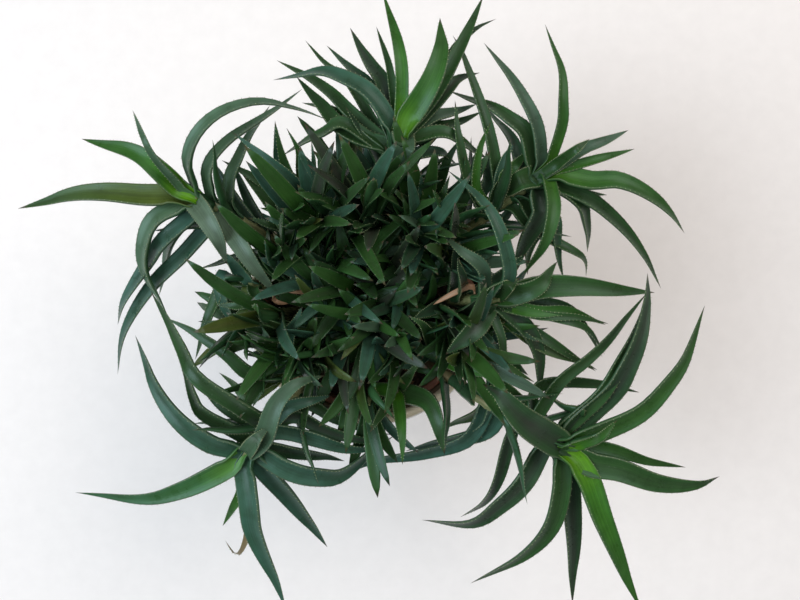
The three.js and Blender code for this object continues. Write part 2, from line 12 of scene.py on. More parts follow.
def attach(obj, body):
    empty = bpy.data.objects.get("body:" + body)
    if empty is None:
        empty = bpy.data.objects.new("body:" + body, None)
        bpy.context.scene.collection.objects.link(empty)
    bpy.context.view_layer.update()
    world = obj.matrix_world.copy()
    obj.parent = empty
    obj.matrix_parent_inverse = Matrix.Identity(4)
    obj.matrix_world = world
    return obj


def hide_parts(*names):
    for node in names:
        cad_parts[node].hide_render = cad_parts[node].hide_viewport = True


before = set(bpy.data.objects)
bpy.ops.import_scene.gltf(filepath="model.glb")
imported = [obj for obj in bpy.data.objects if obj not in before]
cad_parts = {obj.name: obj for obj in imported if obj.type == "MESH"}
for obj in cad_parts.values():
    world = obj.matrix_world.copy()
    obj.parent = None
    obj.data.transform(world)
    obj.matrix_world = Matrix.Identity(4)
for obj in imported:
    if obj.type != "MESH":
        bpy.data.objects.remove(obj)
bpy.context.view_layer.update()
mm = 0.001
scene = bpy.context.scene
chanceSeeds = {"leaf": 11, "soil": 5}
leafChance = random.Random(chanceSeeds["leaf"])
soilChance = random.Random(chanceSeeds["soil"])


# Camera, floor and light

cameraLooks = {
    "place": (0.026, 0.002, 0.805),  # straight above, as in the photo
    "lens": 36,
    "sensor": 36,
    "nearest": 0.01,
}

floorLooks = {
    "half": 4.0,
    "colour": (0.845, 0.835, 0.83),
}

lightLooks = {
    "sky": (0.90, 0.94, 1.0),
    "skyStrength": 0.15,
    "target": (0, 0, 0.15),
    "window": {"place": (-2.1, -0.3, 2.0), "size": 1.9, "power": 70, "colour": (0.88, 0.94, 1.0)},
    "room": {"place": (1.6, 1.3, 2.0), "size": 1.9, "power": 40, "colour": (1.0, 0.86, 0.76)},
    "above": {"place": (0.1, 0.2, 1.9), "size": 2.4, "power": 15, "colour": (1.0, 0.985, 0.965)},
}


def makeCamera(looks):
    data = bpy.data.cameras.new("camera")
    data.lens = looks["lens"]
    data.sensor_width = looks["sensor"]
    data.clip_start = looks["nearest"]
    camera = bpy.data.objects.new("camera", data)
    camera.location = looks["place"]
    scene.collection.objects.link(camera)
    scene.camera = camera


def makeAreaLight(name, looks, target):
    data = bpy.data.lights.new(name, "AREA")
    data.energy = looks["power"]
    data.size = looks["size"]
    data.color = looks["colour"]
    lamp = bpy.data.objects.new(name, data)
    place = Vector(looks["place"])
    lamp.location = place
    lamp.rotation_euler = (Vector(target) - place).to_track_quat("-Z", "Y").to_euler()
    scene.collection.objects.link(lamp)


def makeSky(colour, strength):
    world = bpy.data.worlds.new("sky")
    world.use_nodes = True
    background = world.node_tree.nodes["Background"]
    background.inputs["Color"].default_value = (*colour, 1)
    background.inputs["Strength"].default_value = strength
    scene.world = world


makeCamera(cameraLooks)
makeSky(lightLooks["sky"], lightLooks["skyStrength"])
for lampName in ("window", "room", "above"):
    makeAreaLight(lampName, lightLooks[lampName], lightLooks["target"])
scene.view_settings.view_transform = "Standard"
print("camera and lights ready")


# Plants read from the photo

# Each plant has the place of its stem in the soil, the stem's further points, the rise of the
# rosette's axis above level in degrees, a tone for each leaf and its leaves. A leaf has the
# distance of its root below the crown, its width, the height it arches by, the height of its tip
# and its course, seen from the camera on the plane of the rim. The tones are the letters of
# toneNames, further down.

plants = {
    "left_plant": {
        "hole": [-50, 32],
        "stem": [[-70, 45, 174], [-92, 59, 194], [-120, 75, 210], [-149, 87, 218]],
        "rise": 38,
        "tones": "ofvvvvvttvaa",
        "leaves": [
            [2, 14, 14, 196, [-174, 87], [-214, 90], [-246, 87], [-280, 75]],
            [4, 13, 22, 222, [-166, 105], [-190, 122], [-229, 131]],
            [6, 9, 30, 240, [-170, 114], [-181, 134], [-188, 154]],
            [16, 12, 34, 214, [-147, 110], [-140, 135], [-118, 155], [-86, 164], [-55, 158], [-29, 145]],
            [26, 11, 26, 196, [-130, 106], [-114, 130], [-85, 150], [-52, 171]],
            [38, 11, 20, 188, [-112, 98], [-104, 118], [-94, 138], [-78, 158]],
            [12, 13, 16, 176, [-170, 70], [-182, 48], [-181, 20], [-157, -18]],
            [20, 12, 14, 150, [-162, 50], [-174, 33], [-194, 2], [-200, -18]],
            [32, 12, 12, 132, [-146, 42], [-178, 10], [-199, -27], [-200, -58]],
            [14, 10, 8, 150, [-157, 54], [-164, 34], [-167, 5]],
            [8, 14, 20, 214, [-132, 70], [-120, 49], [-112, 30]],
            [24, 15, 24, 206, [-106, 50], [-90, 26], [-70, 3]],
        ],
    },
    "low_left_plant": {
        "hole": [-34, -48],
        "stem": [[-46, -62, 174], [-62, -82, 190], [-82, -104, 198], [-102, -126, 200]],
        "rise": 42,
        "tones": "etgggtttfhwwttk",
        "leaves": [
            [2, 15, 12, 170, [-122, -138], [-150, -151], [-182, -158], [-234, -152]],
            [10, 14, 24, 186, [-126, -115], [-155, -94], [-176, -62], [-186, -26]],
            [18, 11, 18, 178, [-130, -92], [-142, -76], [-153, -39]],
            [34, 12, 30, 182, [-102, -86], [-138, -62], [-152, -36], [-174, 10]],
            [28, 9, 14, 176, [-114, -86], [-130, -71], [-140, -58]],
            [14, 15, 18, 168, [-66, -135], [-38, -142], [-14, -138], [22, -106]],
            [4, 15, 14, 168, [-96, -166], [-90, -194], [-65, -246]],
            [10, 15, 8, 146, [-80, -138], [-66, -154], [-50, -174], [-32, -196]],
            [6, 8, 6, 168, [-101, -150], [-109, -166], [-116, -179]],
            [20, 7, -4, 128, [-98, -158], [-97, -186], [-105, -203], [-114, -190]],
            [6, 14, 34, 214, [-85, -110], [-74, -82], [-54, -63], [-33, -58]],
            [4, 11, 26, 224, [-90, -110], [-76, -96]],
            [30, 10, 16, 196, [-66, -86], [-46, -79], [-28, -74]],
            [26, 11, 14, 178, [-70, -104], [-46, -110], [-14, -119], [14, -118]],
            [20, 11, 8, 172, [-76, -118], [-46, -124], [-18, -127]],
        ],
    },
    "low_right_plant": {
        "hole": [44, -42],
        "stem": [[60, -56, 174], [86, -74, 194], [124, -98, 206], [162, -118, 210]],
        "rise": 46,
        "tones": "fsgsssgbsgfbg",
        "leaves": [
            [2, 15, 16, 178, [178, -142], [190, -174], [203, -206], [219, -246]],
            [12, 15, 8, 150, [162, -142], [166, -174], [167, -206], [164, -242]],
            [8, 14, 14, 160, [155, -150], [146, -182], [122, -206], [82, -225]],
            [20, 14, 14, 158, [126, -142], [106, -162], [82, -177], [43, -174]],
            [46, 9, 6, 142, [106, -142], [92, -164], [74, -172]],
            [4, 20, 34, 238, [130, -98], [106, -74], [92, -65]],
            [6, 16, 14, 186, [178, -130], [202, -135], [234, -146], [266, -148], [282, -139]],
            [8, 14, 22, 204, [182, -106], [218, -90], [242, -66], [258, -42], [270, -2]],
            [12, 16, 30, 216, [194, -78], [210, -54], [222, -26], [227, 2], [224, 24]],
            [34, 9, 20, 196, [154, -66], [178, -46], [198, -26], [224, 8]],
            [2, 11, 20, 234, [186, -110], [200, -94]],
            [14, 9, 8, 184, [194, -118], [226, -128], [255, -132]],
            [30, 9, 10, 178, [138, -68], [186, -66], [218, -72]],
        ],
    },
    "right_plant": {
        "hole": [50, 34],
        "stem": [[66, 46, 174], [88, 64, 194], [118, 87, 212], [148, 108, 220]],
        "rise": 42,
        "tones": "bbwwgfggbsgkgggg",
        "leaves": [
            [4, 13, 18, 192, [178, 100], [202, 100], [226, 90], [246, 74], [254, 55]],
            [6, 10, 26, 226, [156, 138], [158, 162], [156, 190], [142, 223]],
            [10, 11, 20, 204, [138, 138], [126, 166], [110, 190], [93, 208]],
            [6, 11, 12, 214, [170, 122], [190, 130], [209, 138]],
            [3, 12, 22, 238, [166, 122], [178, 131]],
            [8, 7, 10, 206, [186, 116], [214, 123]],
            [14, 11, 12, 170, [166, 86], [186, 74], [210, 50], [235, 11]],
            [10, 12, 8, 182, [166, 82], [172, 66], [176, 40]],
            [6, 10, 24, 214, [150, 82], [147, 58], [138, 38], [123, 20]],
            [16, 16, 14, 198, [142, 74], [130, 50], [118, 22]],
            [16, 12, 20, 200, [130, 134], [114, 150], [94, 162], [64, 170]],
            [26, 9, 10, 186, [118, 130], [94, 158]],
            [10, 15, 18, 212, [122, 98], [102, 82]],
            [12, 7, 4, 194, [170, 90], [192, 86]],
            [40, 8, 10, 178, [132, 60], [166, 42], [176, 33], [175, 20]],
            [46, 9, 16, 214, [103, 114], [95, 150], [78, 198], [68, 214]],
        ],
    },
    "top_plant": {
        "hole": [10, 60],
        "stem": [[13, 78, 176], [17, 98, 202], [22, 120, 222], [28, 142, 230]],
        "rise": 46,
        "tones": "bfgstkgggssgkw",
        "leaves": [
            [2, 15, 22, 228, [42, 162], [54, 186], [60, 210], [58, 228]],
            [6, 9, 16, 214, [28, 178], [26, 202], [20, 226], [12, 249]],
            [8, 6, 10, 208, [19, 182], [14, 202], [7, 221]],
            [12, 12, 12, 196, [14, 174], [2, 194], [-14, 220]],
            [10, 12, 20, 206, [6, 166], [-18, 182], [-42, 188], [-76, 178]],
            [16, 9, 8, 188, [4, 172], [-14, 190], [-33, 206]],
            [20, 10, 10, 186, [-14, 154], [-30, 170], [-50, 184], [-73, 194]],
            [24, 7, 4, 182, [-14, 176], [-34, 193], [-50, 210]],
            [8, 11, 14, 206, [54, 170], [70, 198], [82, 222], [93, 246]],
            [14, 9, 8, 194, [58, 178], [70, 204], [86, 220], [103, 227]],
            [12, 11, 14, 212, [62, 170], [75, 182], [90, 184]],
            [12, 10, 16, 206, [58, 138], [78, 130], [98, 114]],
            [26, 9, 12, 200, [42, 121], [62, 121], [72, 110]],
            [4, 14, 20, 226, [30, 124], [14, 100]],
        ],
    },
    "mid_right_plant": {
        "hole": [60, 2],
        "stem": [[70, 2, 182], [86, 2, 208], [106, 2, 224]],
        "rise": 56,
        "tones": "gggsstggogw",
        "leaves": [
            [4, 15, 14, 206, [138, 12], [170, 13], [202, 10], [230, 8]],
            [6, 14, 16, 222, [128, 8], [144, 18], [152, 33]],
            [10, 13, 18, 232, [112, 12], [122, 20]],
            [6, 12, 18, 204, [126, -18], [138, -38], [140, -62], [138, -79]],
            [8, 15, 20, 226, [90, -18], [74, -34], [62, -42]],
            [8, 10, 30, 232, [114, 18], [112, 42], [102, 70], [86, 90], [64, 106]],
            [12, 7, 8, 206, [107, -26], [110, -46], [115, -66]],
            [10, 7, 8, 200, [138, -10], [170, -12], [193, -17]],
            [16, 9, 4, 184, [138, -34], [170, -47], [184, -54]],
            [14, 7, 10, 190, [150, -12], [178, -22], [190, -42]],
            [14, 10, 20, 232, [94, 26], [76, 42], [59, 56]],
        ],
    },
    "low_mid_plant": {
        "hole": [62, -20],
        "stem": [[74, -34, 176], [92, -52, 190], [112, -70, 194]],
        "rise": 50,
        "tones": "totg",
        "leaves": [
            [4, 15, 12, 162, [98, -102], [66, -114], [30, -119]],
            [8, 11, 10, 158, [90, -90], [59, -102]],
            [12, 12, 6, 146, [84, -108], [46, -123], [2, -130], [-22, -140]],
            [6, 9, 12, 190, [128, -84], [146, -92]],
        ],
    },
    "low_left_small_plant": {
        "hole": [-50, -30],
        "stem": [[-60, -42, 168], [-66, -52, 182], [-70, -60, 190]],
        "rise": 56,
        "tones": "togoo",
        "leaves": [
            [2, 12, 14, 216, [-65, -30], [-58, -16], [-52, -2]],
            [6, 11, 10, 194, [-86, -34], [-104, -36], [-120, -44]],
            [4, 10, 16, 186, [-94, -58], [-114, -42], [-138, -26], [-162, -12]],
            [6, 12, 10, 190, [-90, -74], [-102, -74], [-119, -56]],
            [4, 9, 12, 206, [-84, -66], [-92, -84]],
        ],
    },
    "left_small_plant": {
        "hole": [-66, 2],
        "stem": [[-82, 10, 176], [-94, 16, 186], [-102, 20, 190]],
        "rise": 50,
        "tones": "gtogt",
        "leaves": [
            [4, 9, 10, 166, [-116, 14], [-125, -2], [-134, -26], [-138, -46]],
            [2, 11, 12, 172, [-118, 22], [-118, 2], [-109, -18], [-96, -32]],
            [6, 8, 6, 184, [-100, -8], [-118, -16], [-136, -15]],
            [8, 8, 10, 194, [-90, 4], [-104, -2], [-122, -2]],
            [4, 10, 14, 214, [-108, 30], [-118, 42]],
        ],
    },
    "north_west_offset": {
        "hole": [-40, 58],
        "stem": [[-44, 62, 160], [-50, 70, 174]],
        "rise": 60,
        "tones": "tggg",
        "leaves": [
            [2, 9, 12, 222, [-56, 92], [-82, 116], [-109, 137]],
            [4, 9, 10, 210, [-72, 88], [-94, 102], [-117, 114]],
            [3, 8, 12, 226, [-62, 98], [-70, 122], [-74, 145]],
            [4, 11, 16, 214, [-62, 60], [-78, 64], [-96, 68]],
        ],
    },
    "south_offset": {
        "hole": [20, -62],
        "stem": [[22, -66, 160], [24, -72, 172]],
        "rise": 66,
        "tones": "ffggg",
        "leaves": [
            [2, 9, 16, 206, [26, -88], [28, -110], [28, -130]],
            [2, 10, 18, 222, [6, -70], [14, -82], [22, -94]],
            [3, 14, 18, 200, [46, -78], [56, -100], [62, -122]],
            [4, 9, 14, 208, [10, -92], [2, -104]],
            [3, 9, 18, 214, [34, -58], [44, -44]],
        ],
    },
    "south_east_offset": {
        "hole": [44, -28],
        "stem": [[48, -32, 162], [54, -38, 178]],
        "rise": 62,
        "tones": "fogt",
        "leaves": [
            [2, 12, 22, 214, [72, -50], [92, -56], [114, -64]],
            [3, 9, 18, 210, [90, -40], [110, -50], [134, -64]],
            [3, 9, 20, 226, [46, -20], [32, -10]],
            [4, 9, 16, 214, [38, -50], [22, -52]],
        ],
    },
    "north_offset": {
        "hole": [38, 62],
        "stem": [[40, 66, 162], [44, 72, 176]],
        "rise": 62,
        "tones": "tggg",
        "leaves": [
            [2, 9, 22, 228, [44, 84], [43, 106]],
            [3, 9, 18, 216, [58, 84], [66, 102]],
            [3, 9, 20, 224, [30, 84], [16, 94]],
            [4, 9, 14, 214, [64, 66], [84, 60]],
        ],
    },
}


# Rules shared with the solids, so that each leaf lies where its solid lies

soilTop = 143
potHeight = 165
potRadius = 100
innerPotRadius = 84

growth = {
    "eye": (26, 2, 805),
    "stemRadius": 4.5,
    "smallStemRadius": 3,
    "manyLeaves": 10,
    "soilGrip": 25,      # mm of stem that stands in the soil
    "collarHeight": 4,
    "leafSteps": 3,      # a grown leaf bends at each step
    "leafGap": 1.8,      # mm of stem between the leaves of an offset
    "leafShorter": 2,    # mm that each leaf is shorter than the one above it
    "recurve": 11,
    "tries": 9,
    "tryTurn": 0.9,
    "tryShorter": 3,
    "wander": 6,         # degrees by which an offset's lean may stray
    "centre": (2, 0),
    "firstRing": 0.4,
    "goldenShare": 0.618,
    "tipShift": 0.8,     # how far a leaf's tip follows when its arch is shifted
    "oldAt": 40,         # mm below the crown where a leaf counts as old
    "leanAtCentre": 5,
    "leanPerMillimetre": 0.78,
    "seed": 7,
}

offsetLooks = {
    "kind": "short",
    "count": 54,
    "spread": 9.6,
    "room": 11,
    "edge": 72,
    "stemRadius": 2.2,
    "stemRoom": 3.8,
    "leaves": 7,
    "height": (10, 34),
    "rise": 0.27,
    "crownSpread": 0.36,
    "length": (64, 80),
    "front": 90,
    "fewest": 4,
    "width": (9, 11),
    "bladeRoom": 2.2,
    "turnSpread": (0, 1.2),
    "tilt": (12, 7),     # degrees of the youngest leaf, and more for each older one
    "tiltSpread": (-4, 4),
    "outerLonger": 0.1,
}

olderLooks = {
    "count": 5,
    "oldestRoot": 50,
    "youngestRoot": 36,
    "ahead": 4,
    "turnSpread": (0, 1.2),
    "tilt": 34,
    "tiltSpread": (-8, 8),
    "length": (62, 84),
    "width": (10, 12),
}

# Young shoots, only in this scene, that fill the mound between the solid offsets
youngLooks = {
    "kind": "young",
    "count": 230,
    "spread": 5.1,
    "room": 5.5,
    "edge": 74,
    "front": 32,         # mm from the pot's middle that they may stand towards the front
    "reach": 70,         # mm from the pot's middle that their tips may reach towards the front
    "stemRadius": 1.8,
    "stemRoom": -0.8,
    "leaves": 5,
    "fewest": 3,
    "height": (2, 30),
    "rise": 0.24,
    "crownSpread": 0.30,
    "length": (60, 88),
    "width": (8.8, 10.8),
    "bladeRoom": -0.7,
    "turnSpread": (-0.4, 0.4),
    "tilt": (14, 8.5),
    "tiltSpread": (-3, 5),
    "outerLonger": 0,
    "recurve": (4, 22),
    "tries": 5,
}

# Longer shoots, only in this scene, that lean out over the rim at the sides and the back
edgeLooks = {
    "kind": "short",
    "count": 46,
    "from": -30,
    "to": 215,
    "distance": (48, 70),
    "room": 3.0,
    "edge": 75,
    "front": 46,
    "reach": 90,
    "stemRadius": 2.0,
    "stemRoom": -0.8,
    "leaves": 5,
    "fewest": 3,
    "height": (16, 50),
    "rise": 0,
    "crownSpread": 0.06,
    "lean": (10, 28),
    "length": (84, 112),
    "width": (9.5, 12.5),
    "bladeRoom": -0.7,
    "turnSpread": (-0.4, 0.4),
    "tilt": (5, 6.5),
    "tiltSpread": (-3, 5),
    "outerLonger": 0,
    "recurve": (4, 14),
    "tries": 6,
}

shootTop = 280  # mm, the height that the scene's own shoots stay under

# Places that the scene's own shoots leave open to the camera: x, y on the rim's plane and radius
openings = (
    (3, -94, 19),
    (-36, -90, 12),
    (34, -101, 14),
    (-66, 7, 14),
    (-122, 62, 11),
    (-103, 42, 12),
    (-88, 24, 12),
    (68, 8, 14),
    (-146, 14, 12),
    (-110, -46, 11),
    (8, -122, 12),
    (-104, 82, 8),
)

# Plant, number of the leaf whose tip it is, or None, width, and course with heights
dryLeaves = (
    ("left_plant", 11, 4.5, (-67, 11, 207), (-57, 9, 205), (-46, 8, 200)),
    ("left_plant", 11, 3.5, (-75, 3, 204), (-71, 0, 202), (-63, -1, 197)),
    ("mid_right_plant", None, 4.5, (84, 13, 214), (70, 8, 213), (52, -2, 206)),
)

# Further leaves of the read plants: plant, tone, then the numbers and the course as above
furtherLeaves = (
    ("top_plant", "g", 18, 12, 12, 190, (-18, 140), (-38, 161), (-57, 181)),
    ("top_plant", "b", 22, 9, 6, 186, (-18, 148), (-34, 158), (-53, 160)),
    ("top_plant", "g", 24, 10, 18, 196, (-18, 145), (-37, 138), (-54, 130), (-69, 117)),
    ("top_plant", "w", 12, 10, 8, 200, (50, 149), (67, 154), (88, 159)),
    ("top_plant", "g", 18, 10, 6, 192, (53, 140), (70, 145), (92, 153)),
    ("mid_right_plant", "f", 12, 9, 12, 196, (134, -7), (163, -7), (191, -18)),
    ("mid_right_plant", "g", 16, 8, 8, 184, (154, -2), (176, -20), (188, -44)),
    ("mid_right_plant", "g", 20, 9, 8, 186, (138, -26), (163, -42), (183, -55)),
    ("low_right_plant", "o", 14, 17, 12, 200, (178, -87), (160, -78), (142, -71)),
    ("low_left_plant", "s", 22, 10, 12, 176, (-61, -92), (-34, -104), (-6, -111), (18, -113)),
    ("low_left_plant", "g", 30, 9, 14, 176, (-54, -81), (-26, -94), (-2, -102), (19, -106)),
    ("right_plant", "g", 60, 9, 14, 232, (82, 98), (75, 130), (70, 162)),
    ("right_plant", "f", 56, 8, 10, 226, (88, 90), (90, 118), (99, 145)),
    ("right_plant", "t", 44, 9, 8, 220, (106, 94), (110, 113), (118, 128)),
    ("right_plant", "g", 50, 10, 8, 216, (102, 82), (107, 94), (109, 106)),
    ("right_plant", "b", 34, 10, 8, 214, (110, 98), (119, 110), (129, 122)),
    ("right_plant", "k", 52, 11, 8, 205, (90, 82), (98, 98), (95, 122)),
    ("right_plant", "k", 26, 10, 6, 196, (150, 70), (154, 46), (157, 18)),
    ("right_plant", "g", 30, 11, 6, 190, (138, 62), (132, 42), (128, 22)),
    ("north_offset", "g", 5, 10, 14, 216, (56, 94), (64, 114), (75, 132)),
    ("north_offset", "k", 6, 10, 14, 212, (66, 86), (80, 102), (93, 122)),
    ("north_west_offset", "g", 5, 12, 8, 206, (-69, 73), (-85, 89), (-100, 102)),
    ("north_west_offset", "t", 3, 8, 12, 222, (-69, 106), (-73, 126), (-74, 146)),
    ("north_west_offset", "b", 3, 7, 12, 218, (-54, 102), (-56, 121), (-65, 140)),
    ("north_west_offset", "k", 4, 7, 10, 214, (-45, 94), (-44, 114), (-45, 130)),
    ("low_right_plant", "g", 16, 12, 26, 214, (185, -79), (204, -50), (218, -22), (223, 4)),
)

# Leaves that are drawn slimmer than their solids
slimLeaves = {
    ("left_plant", 2): 0.62,
    ("left_plant", 3): 0.78,
    ("left_plant", 4): 0.8,
    ("left_plant", 5): 0.8,
    ("left_plant", 11): 0.86,
    ("right_plant", 1): 0.75,
    ("right_plant", 2): 0.85,
    ("right_plant", 3): 0.8,
    ("right_plant", 4): 0.6,
}

# Leaves that taper more evenly than the rest, with their own tip power
taperedLeaves = {("low_left_plant", 0): 1.35}

# How far a blade lies below its course, as a share of its width, where that isn't the usual share
settledLeaves = {
    ("left_plant", 0): 0.3,
    ("left_plant", 3): 0.32,
    ("left_plant", 7): -0.05,
    ("low_left_plant", 0): 0.08,
    ("low_left_plant", 7): 0.1,
    ("low_right_plant", 2): 0.08,
    ("low_right_plant", 3): 0,
    ("low_right_plant", 7): 0.14,
    ("right_plant", 0): 0.34,
    ("right_plant", 1): 0.3,
    ("right_plant", 6): -0.25,
    ("right_plant", 7): -0.2,
}

blade = {
    "leanShare": 1.15,      # a read leaf is wider than it looks, as it leans to one side
    "readLeafRoot": 0.36,
    "grownLeafRoot": 0.24,
    "widestPlace": 0.22,
    "keelDepth": 0.22,
}

clearance = {
    "step": 5,           # mm between the places of a leaf or stem that are compared
    "sides": (-0.36, 0, 0.36),
    "rootRows": 2,
    "bladeRoom": 2.2,
    "stemRoom": 0.6,
    "nearby": 9,
    "potRoom": 5,
    "wallRoom": 8,       # mm that stems and leaves keep from the inner pot's wall
    "soilRoom": 3,
    "shifts": (0, 5, -5, 10, -10, 15, -15, 20, -20, 25, -25, 30, -30, 35, -35, 40, 45, 50),
}

dryLooks = {"stemPlace": 0.74, "leafPlace": 0.93}  # where a dry leaf begins, as a share of the length

goldenAngle = math.radians(137.508)
up = np.array((0.0, 0.0, 1.0))
curveSteps = 40
draws = {"step": 16807, "range": 2147483647}
randomState = growth["seed"]


def between(low, high):
    # The solids' own random draw, so that both grow the same mound
    global randomState
    randomState = (randomState * draws["step"]) % draws["range"]
    return low + (high - low) * (randomState / draws["range"])


def alongSight(x, y, z):
    eyeX, eyeY, eyeZ = growth["eye"]
    share = (eyeZ - z) / (eyeZ - potHeight)
    return np.array((eyeX + (x - eyeX) * share, eyeY + (y - eyeY) * share, z))


def unit(vector):
    return vector / np.linalg.norm(vector)


def curveThrough(points):
    points = np.array(points, float)
    last = len(points) - 1
    ring = np.vstack((2 * points[0] - points[1], points, 2 * points[-1] - points[-2]))
    places = last * evenly(curveSteps)
    start = np.minimum(places.astype(int), last - 1)
    w = (places - start)[:, None]
    p0, p1, p2, p3 = (ring[start + step] for step in range(4))
    leaving = 0.5 * (p2 - p0)
    arriving = 0.5 * (p3 - p1)
    square = 3 * (p2 - p1) - 2 * leaving - arriving
    cube = 2 * (p1 - p2) + leaving + arriving
    return p1 + leaving * w + square * w ** 2 + cube * w ** 3


def lengthsAlong(line):
    steps = np.linalg.norm(np.diff(line, axis=0), axis=1)
    return np.concatenate(((0,), np.cumsum(steps)))


def pointsAt(line, distances):
    lengths = lengthsAlong(line)
    i = np.clip(np.searchsorted(lengths, distances), 1, len(line) - 1)
    share = (distances - lengths[i - 1]) / (lengths[i] - lengths[i - 1])
    return line[i - 1] + (line[i] - line[i - 1]) * share[..., None]


def evenly(count):
    return np.arange(count + 1) / count


def tangentsOf(points):
    index = np.arange(len(points))
    ahead = points[np.minimum(index + 1, len(points) - 1)]
    behind = points[np.maximum(index - 1, 0)]
    steps = ahead - behind
    return steps / np.linalg.norm(steps, axis=1)[:, None]


def leafFrames(leaf, places):
    points = pointsAt(leaf["line"], leaf["length"] * places)
    tangents = tangentsOf(points)
    across = leaf["across"] - tangents * (tangents @ leaf["across"])[:, None]
    across = across / np.linalg.norm(across, axis=1)[:, None]
    return points, tangents, across, np.cross(tangents, across)


def bladeSamples(leaf):
    places = evenly(math.ceil(leaf["length"] / clearance["step"]))
    points, _, across, _ = leafFrames(leaf, places)
    opening = leaf["root"] + (1 - leaf["root"]) * np.minimum(places / blade["widestPlace"], 1)
    width = leaf["width"] * opening * (1 - places ** 2)
    sides = np.array(clearance["sides"])
    reach = width[:, None, None] * sides[None, :, None] * across[:, None, :]
    return (points[:, None, :] + reach).reshape(-1, 3)


occupied = []  # one (plant, room, places) for each blade and stem that is in place
mostOccupied = 9000
occupiedBoxes = np.zeros((mostOccupied, 6))


def keep(plant, room, places):
    occupiedBoxes[len(occupied)] = (*places.min(0), *-places.max(0))
    occupied.append((plant, room, places))


def clearOfPot(places):
    radius = np.hypot(places[:, 0], places[:, 1])
    height = places[:, 2]
    outside = (height > potHeight + clearance["potRoom"]) | (radius > potRadius + clearance["potRoom"])
    overSoil = height > soilTop + clearance["soilRoom"]
    inside = (radius < innerPotRadius - clearance["wallRoom"]) & overSoil
    return bool(np.all(outside | inside))


def clearOfOthers(places, room, plant):
    reach = clearance["nearby"]
    mine = np.concatenate((places.max(0) + reach, -(places.min(0) - reach)))
    for i in np.flatnonzero(np.all(occupiedBoxes[:len(occupied)] <= mine, axis=1)):
        other, otherRoom, otherPlaces = occupied[i]
        if other == plant:
            continue
        gaps = np.linalg.norm(places[:, None] - otherPlaces[None], axis=2)
        if gaps.min() < room + otherRoom:
            return False
    return True


def placeIfClear(plant, leaf, room):
    places = bladeSamples(leaf)
    free = places[clearance["rootRows"] * len(clearance["sides"]):]
    clear = clearOfPot(free) and clearOfOthers(free, room, plant["name"])
    if clear:
        keep(plant["name"], room, places)
        plant["leaves"].append(leaf)
    return clear


def makeLeaf(width, across, root, points, **looks):
    line = curveThrough(points)
    return {"width": width, "across": across, "root": root, "line": line,
            "length": lengthsAlong(line)[-1], **looks}


def makePlant(name, hole, points, radius, axis=None, **looks):
    collar = np.array((*hole, soilTop + growth["collarHeight"]), float)
    line = curveThrough([collar, *points])
    return {"name": name, "hole": hole, "line": line, "length": lengthsAlong(line)[-1],
            "radius": radius, "axis": axis, "leaves": [], **looks}


def axisOf(line, rise):
    outward = line[-1] - line[0]
    outward[2] = 0
    return unit(outward) * math.cos(math.radians(rise)) + up * math.sin(math.radians(rise))


def stemPlaces(plant):
    count = math.ceil(plant["length"] / clearance["step"])
    return pointsAt(plant["line"], plant["length"] * evenly(count))


def readPlant(name, numbers):
    points = [alongSight(x, y, z) for x, y, z in numbers["stem"]]
    many = len(numbers["leaves"]) > growth["manyLeaves"]
    radius = growth["stemRadius"] if many else growth["smallStemRadius"]
    plant = makePlant(name, numbers["hole"], points, radius)
    plant["axis"] = axisOf(plant["line"], numbers["rise"])
    keep(name, radius + clearance["stemRoom"], stemPlaces(plant))
    return plant


def readDryLeaves(readPlants):
    # Dry leaves and dry tips: each begins on a stem, or at the tip of one of the plant's leaves
    for name, leafNumber, width, *course in dryLeaves:
        plant = next(plant for plant in readPlants if plant["name"] == name)
        if leafNumber is None:
            root = pointsAt(plant["line"], np.array(dryLooks["stemPlace"] * plant["length"]))
        else:
            leaf = plant["leaves"][leafNumber]
            root = pointsAt(leaf["line"], np.array(dryLooks["leafPlace"] * leaf["length"]))
        points = [root] + [alongSight(*point) for point in course]
        across = unit(np.cross(up, points[-1] - root))
        plant["leaves"].append(makeLeaf(width, across, 1, points, place=0, kind="dry", tone="d", age=1))


def readFurtherLeaves(readPlants):
    for name, tone, *numbers in furtherLeaves:
        plant = next(plant for plant in readPlants if plant["name"] == name)
        placeReadLeaf(plant, numbers, tone, youngLooks["bladeRoom"])


def readLeaf(plant, numbers, shift, tone):
    down, width, arch, tipHeight, *course = numbers
    root = pointsAt(plant["line"], np.array(plant["length"] - down))
    points = [root]
    for i, (x, y) in enumerate(course):
        t = (i + 1) / len(course)
        level = root[2] + (tipHeight + shift * growth["tipShift"] - root[2]) * t
        points.append(alongSight(x, y, level + (arch + shift) * 4 * t * (1 - t)))
    outward = (points[-1] + points[1]) * 0.5 - root
    across = unit(np.cross(plant["axis"] + up, outward))
    return makeLeaf(width * blade["leanShare"], across, blade["readLeafRoot"], points, kind="long",
                    place=plant["length"] - down, tone=tone, age=min(down / growth["oldAt"], 1))


def placeReadLeaf(plant, numbers, tone, room=clearance["bladeRoom"]):
    for shift in clearance["shifts"]:
        if placeIfClear(plant, readLeaf(plant, numbers, shift, tone), room):
            return


def growLeaf(root, axis, turn, tilt, recurve, length, width, **looks):
    side = np.array((math.cos(turn), math.sin(turn), 0))
    side = unit(side - axis * side.dot(axis))
    points = [root]
    steps = growth["leafSteps"]
    for i in range(steps):
        angle = math.radians(tilt + i * recurve)
        step = axis * math.cos(angle) + side * math.sin(angle)
        points.append(points[i] + step * (length / steps))
    across = unit(np.cross(axis, side))
    return makeLeaf(width, across, blade["grownLeafRoot"], points, **looks)


def seenFromCamera(places):
    # Where the camera sees the places against the plane of the rim
    eye = np.array(growth["eye"], float)
    share = (eye[2] - potHeight) / (eye[2] - places[:, 2])
    return eye[:2] + (places[:, :2] - eye[:2]) * share[:, None]


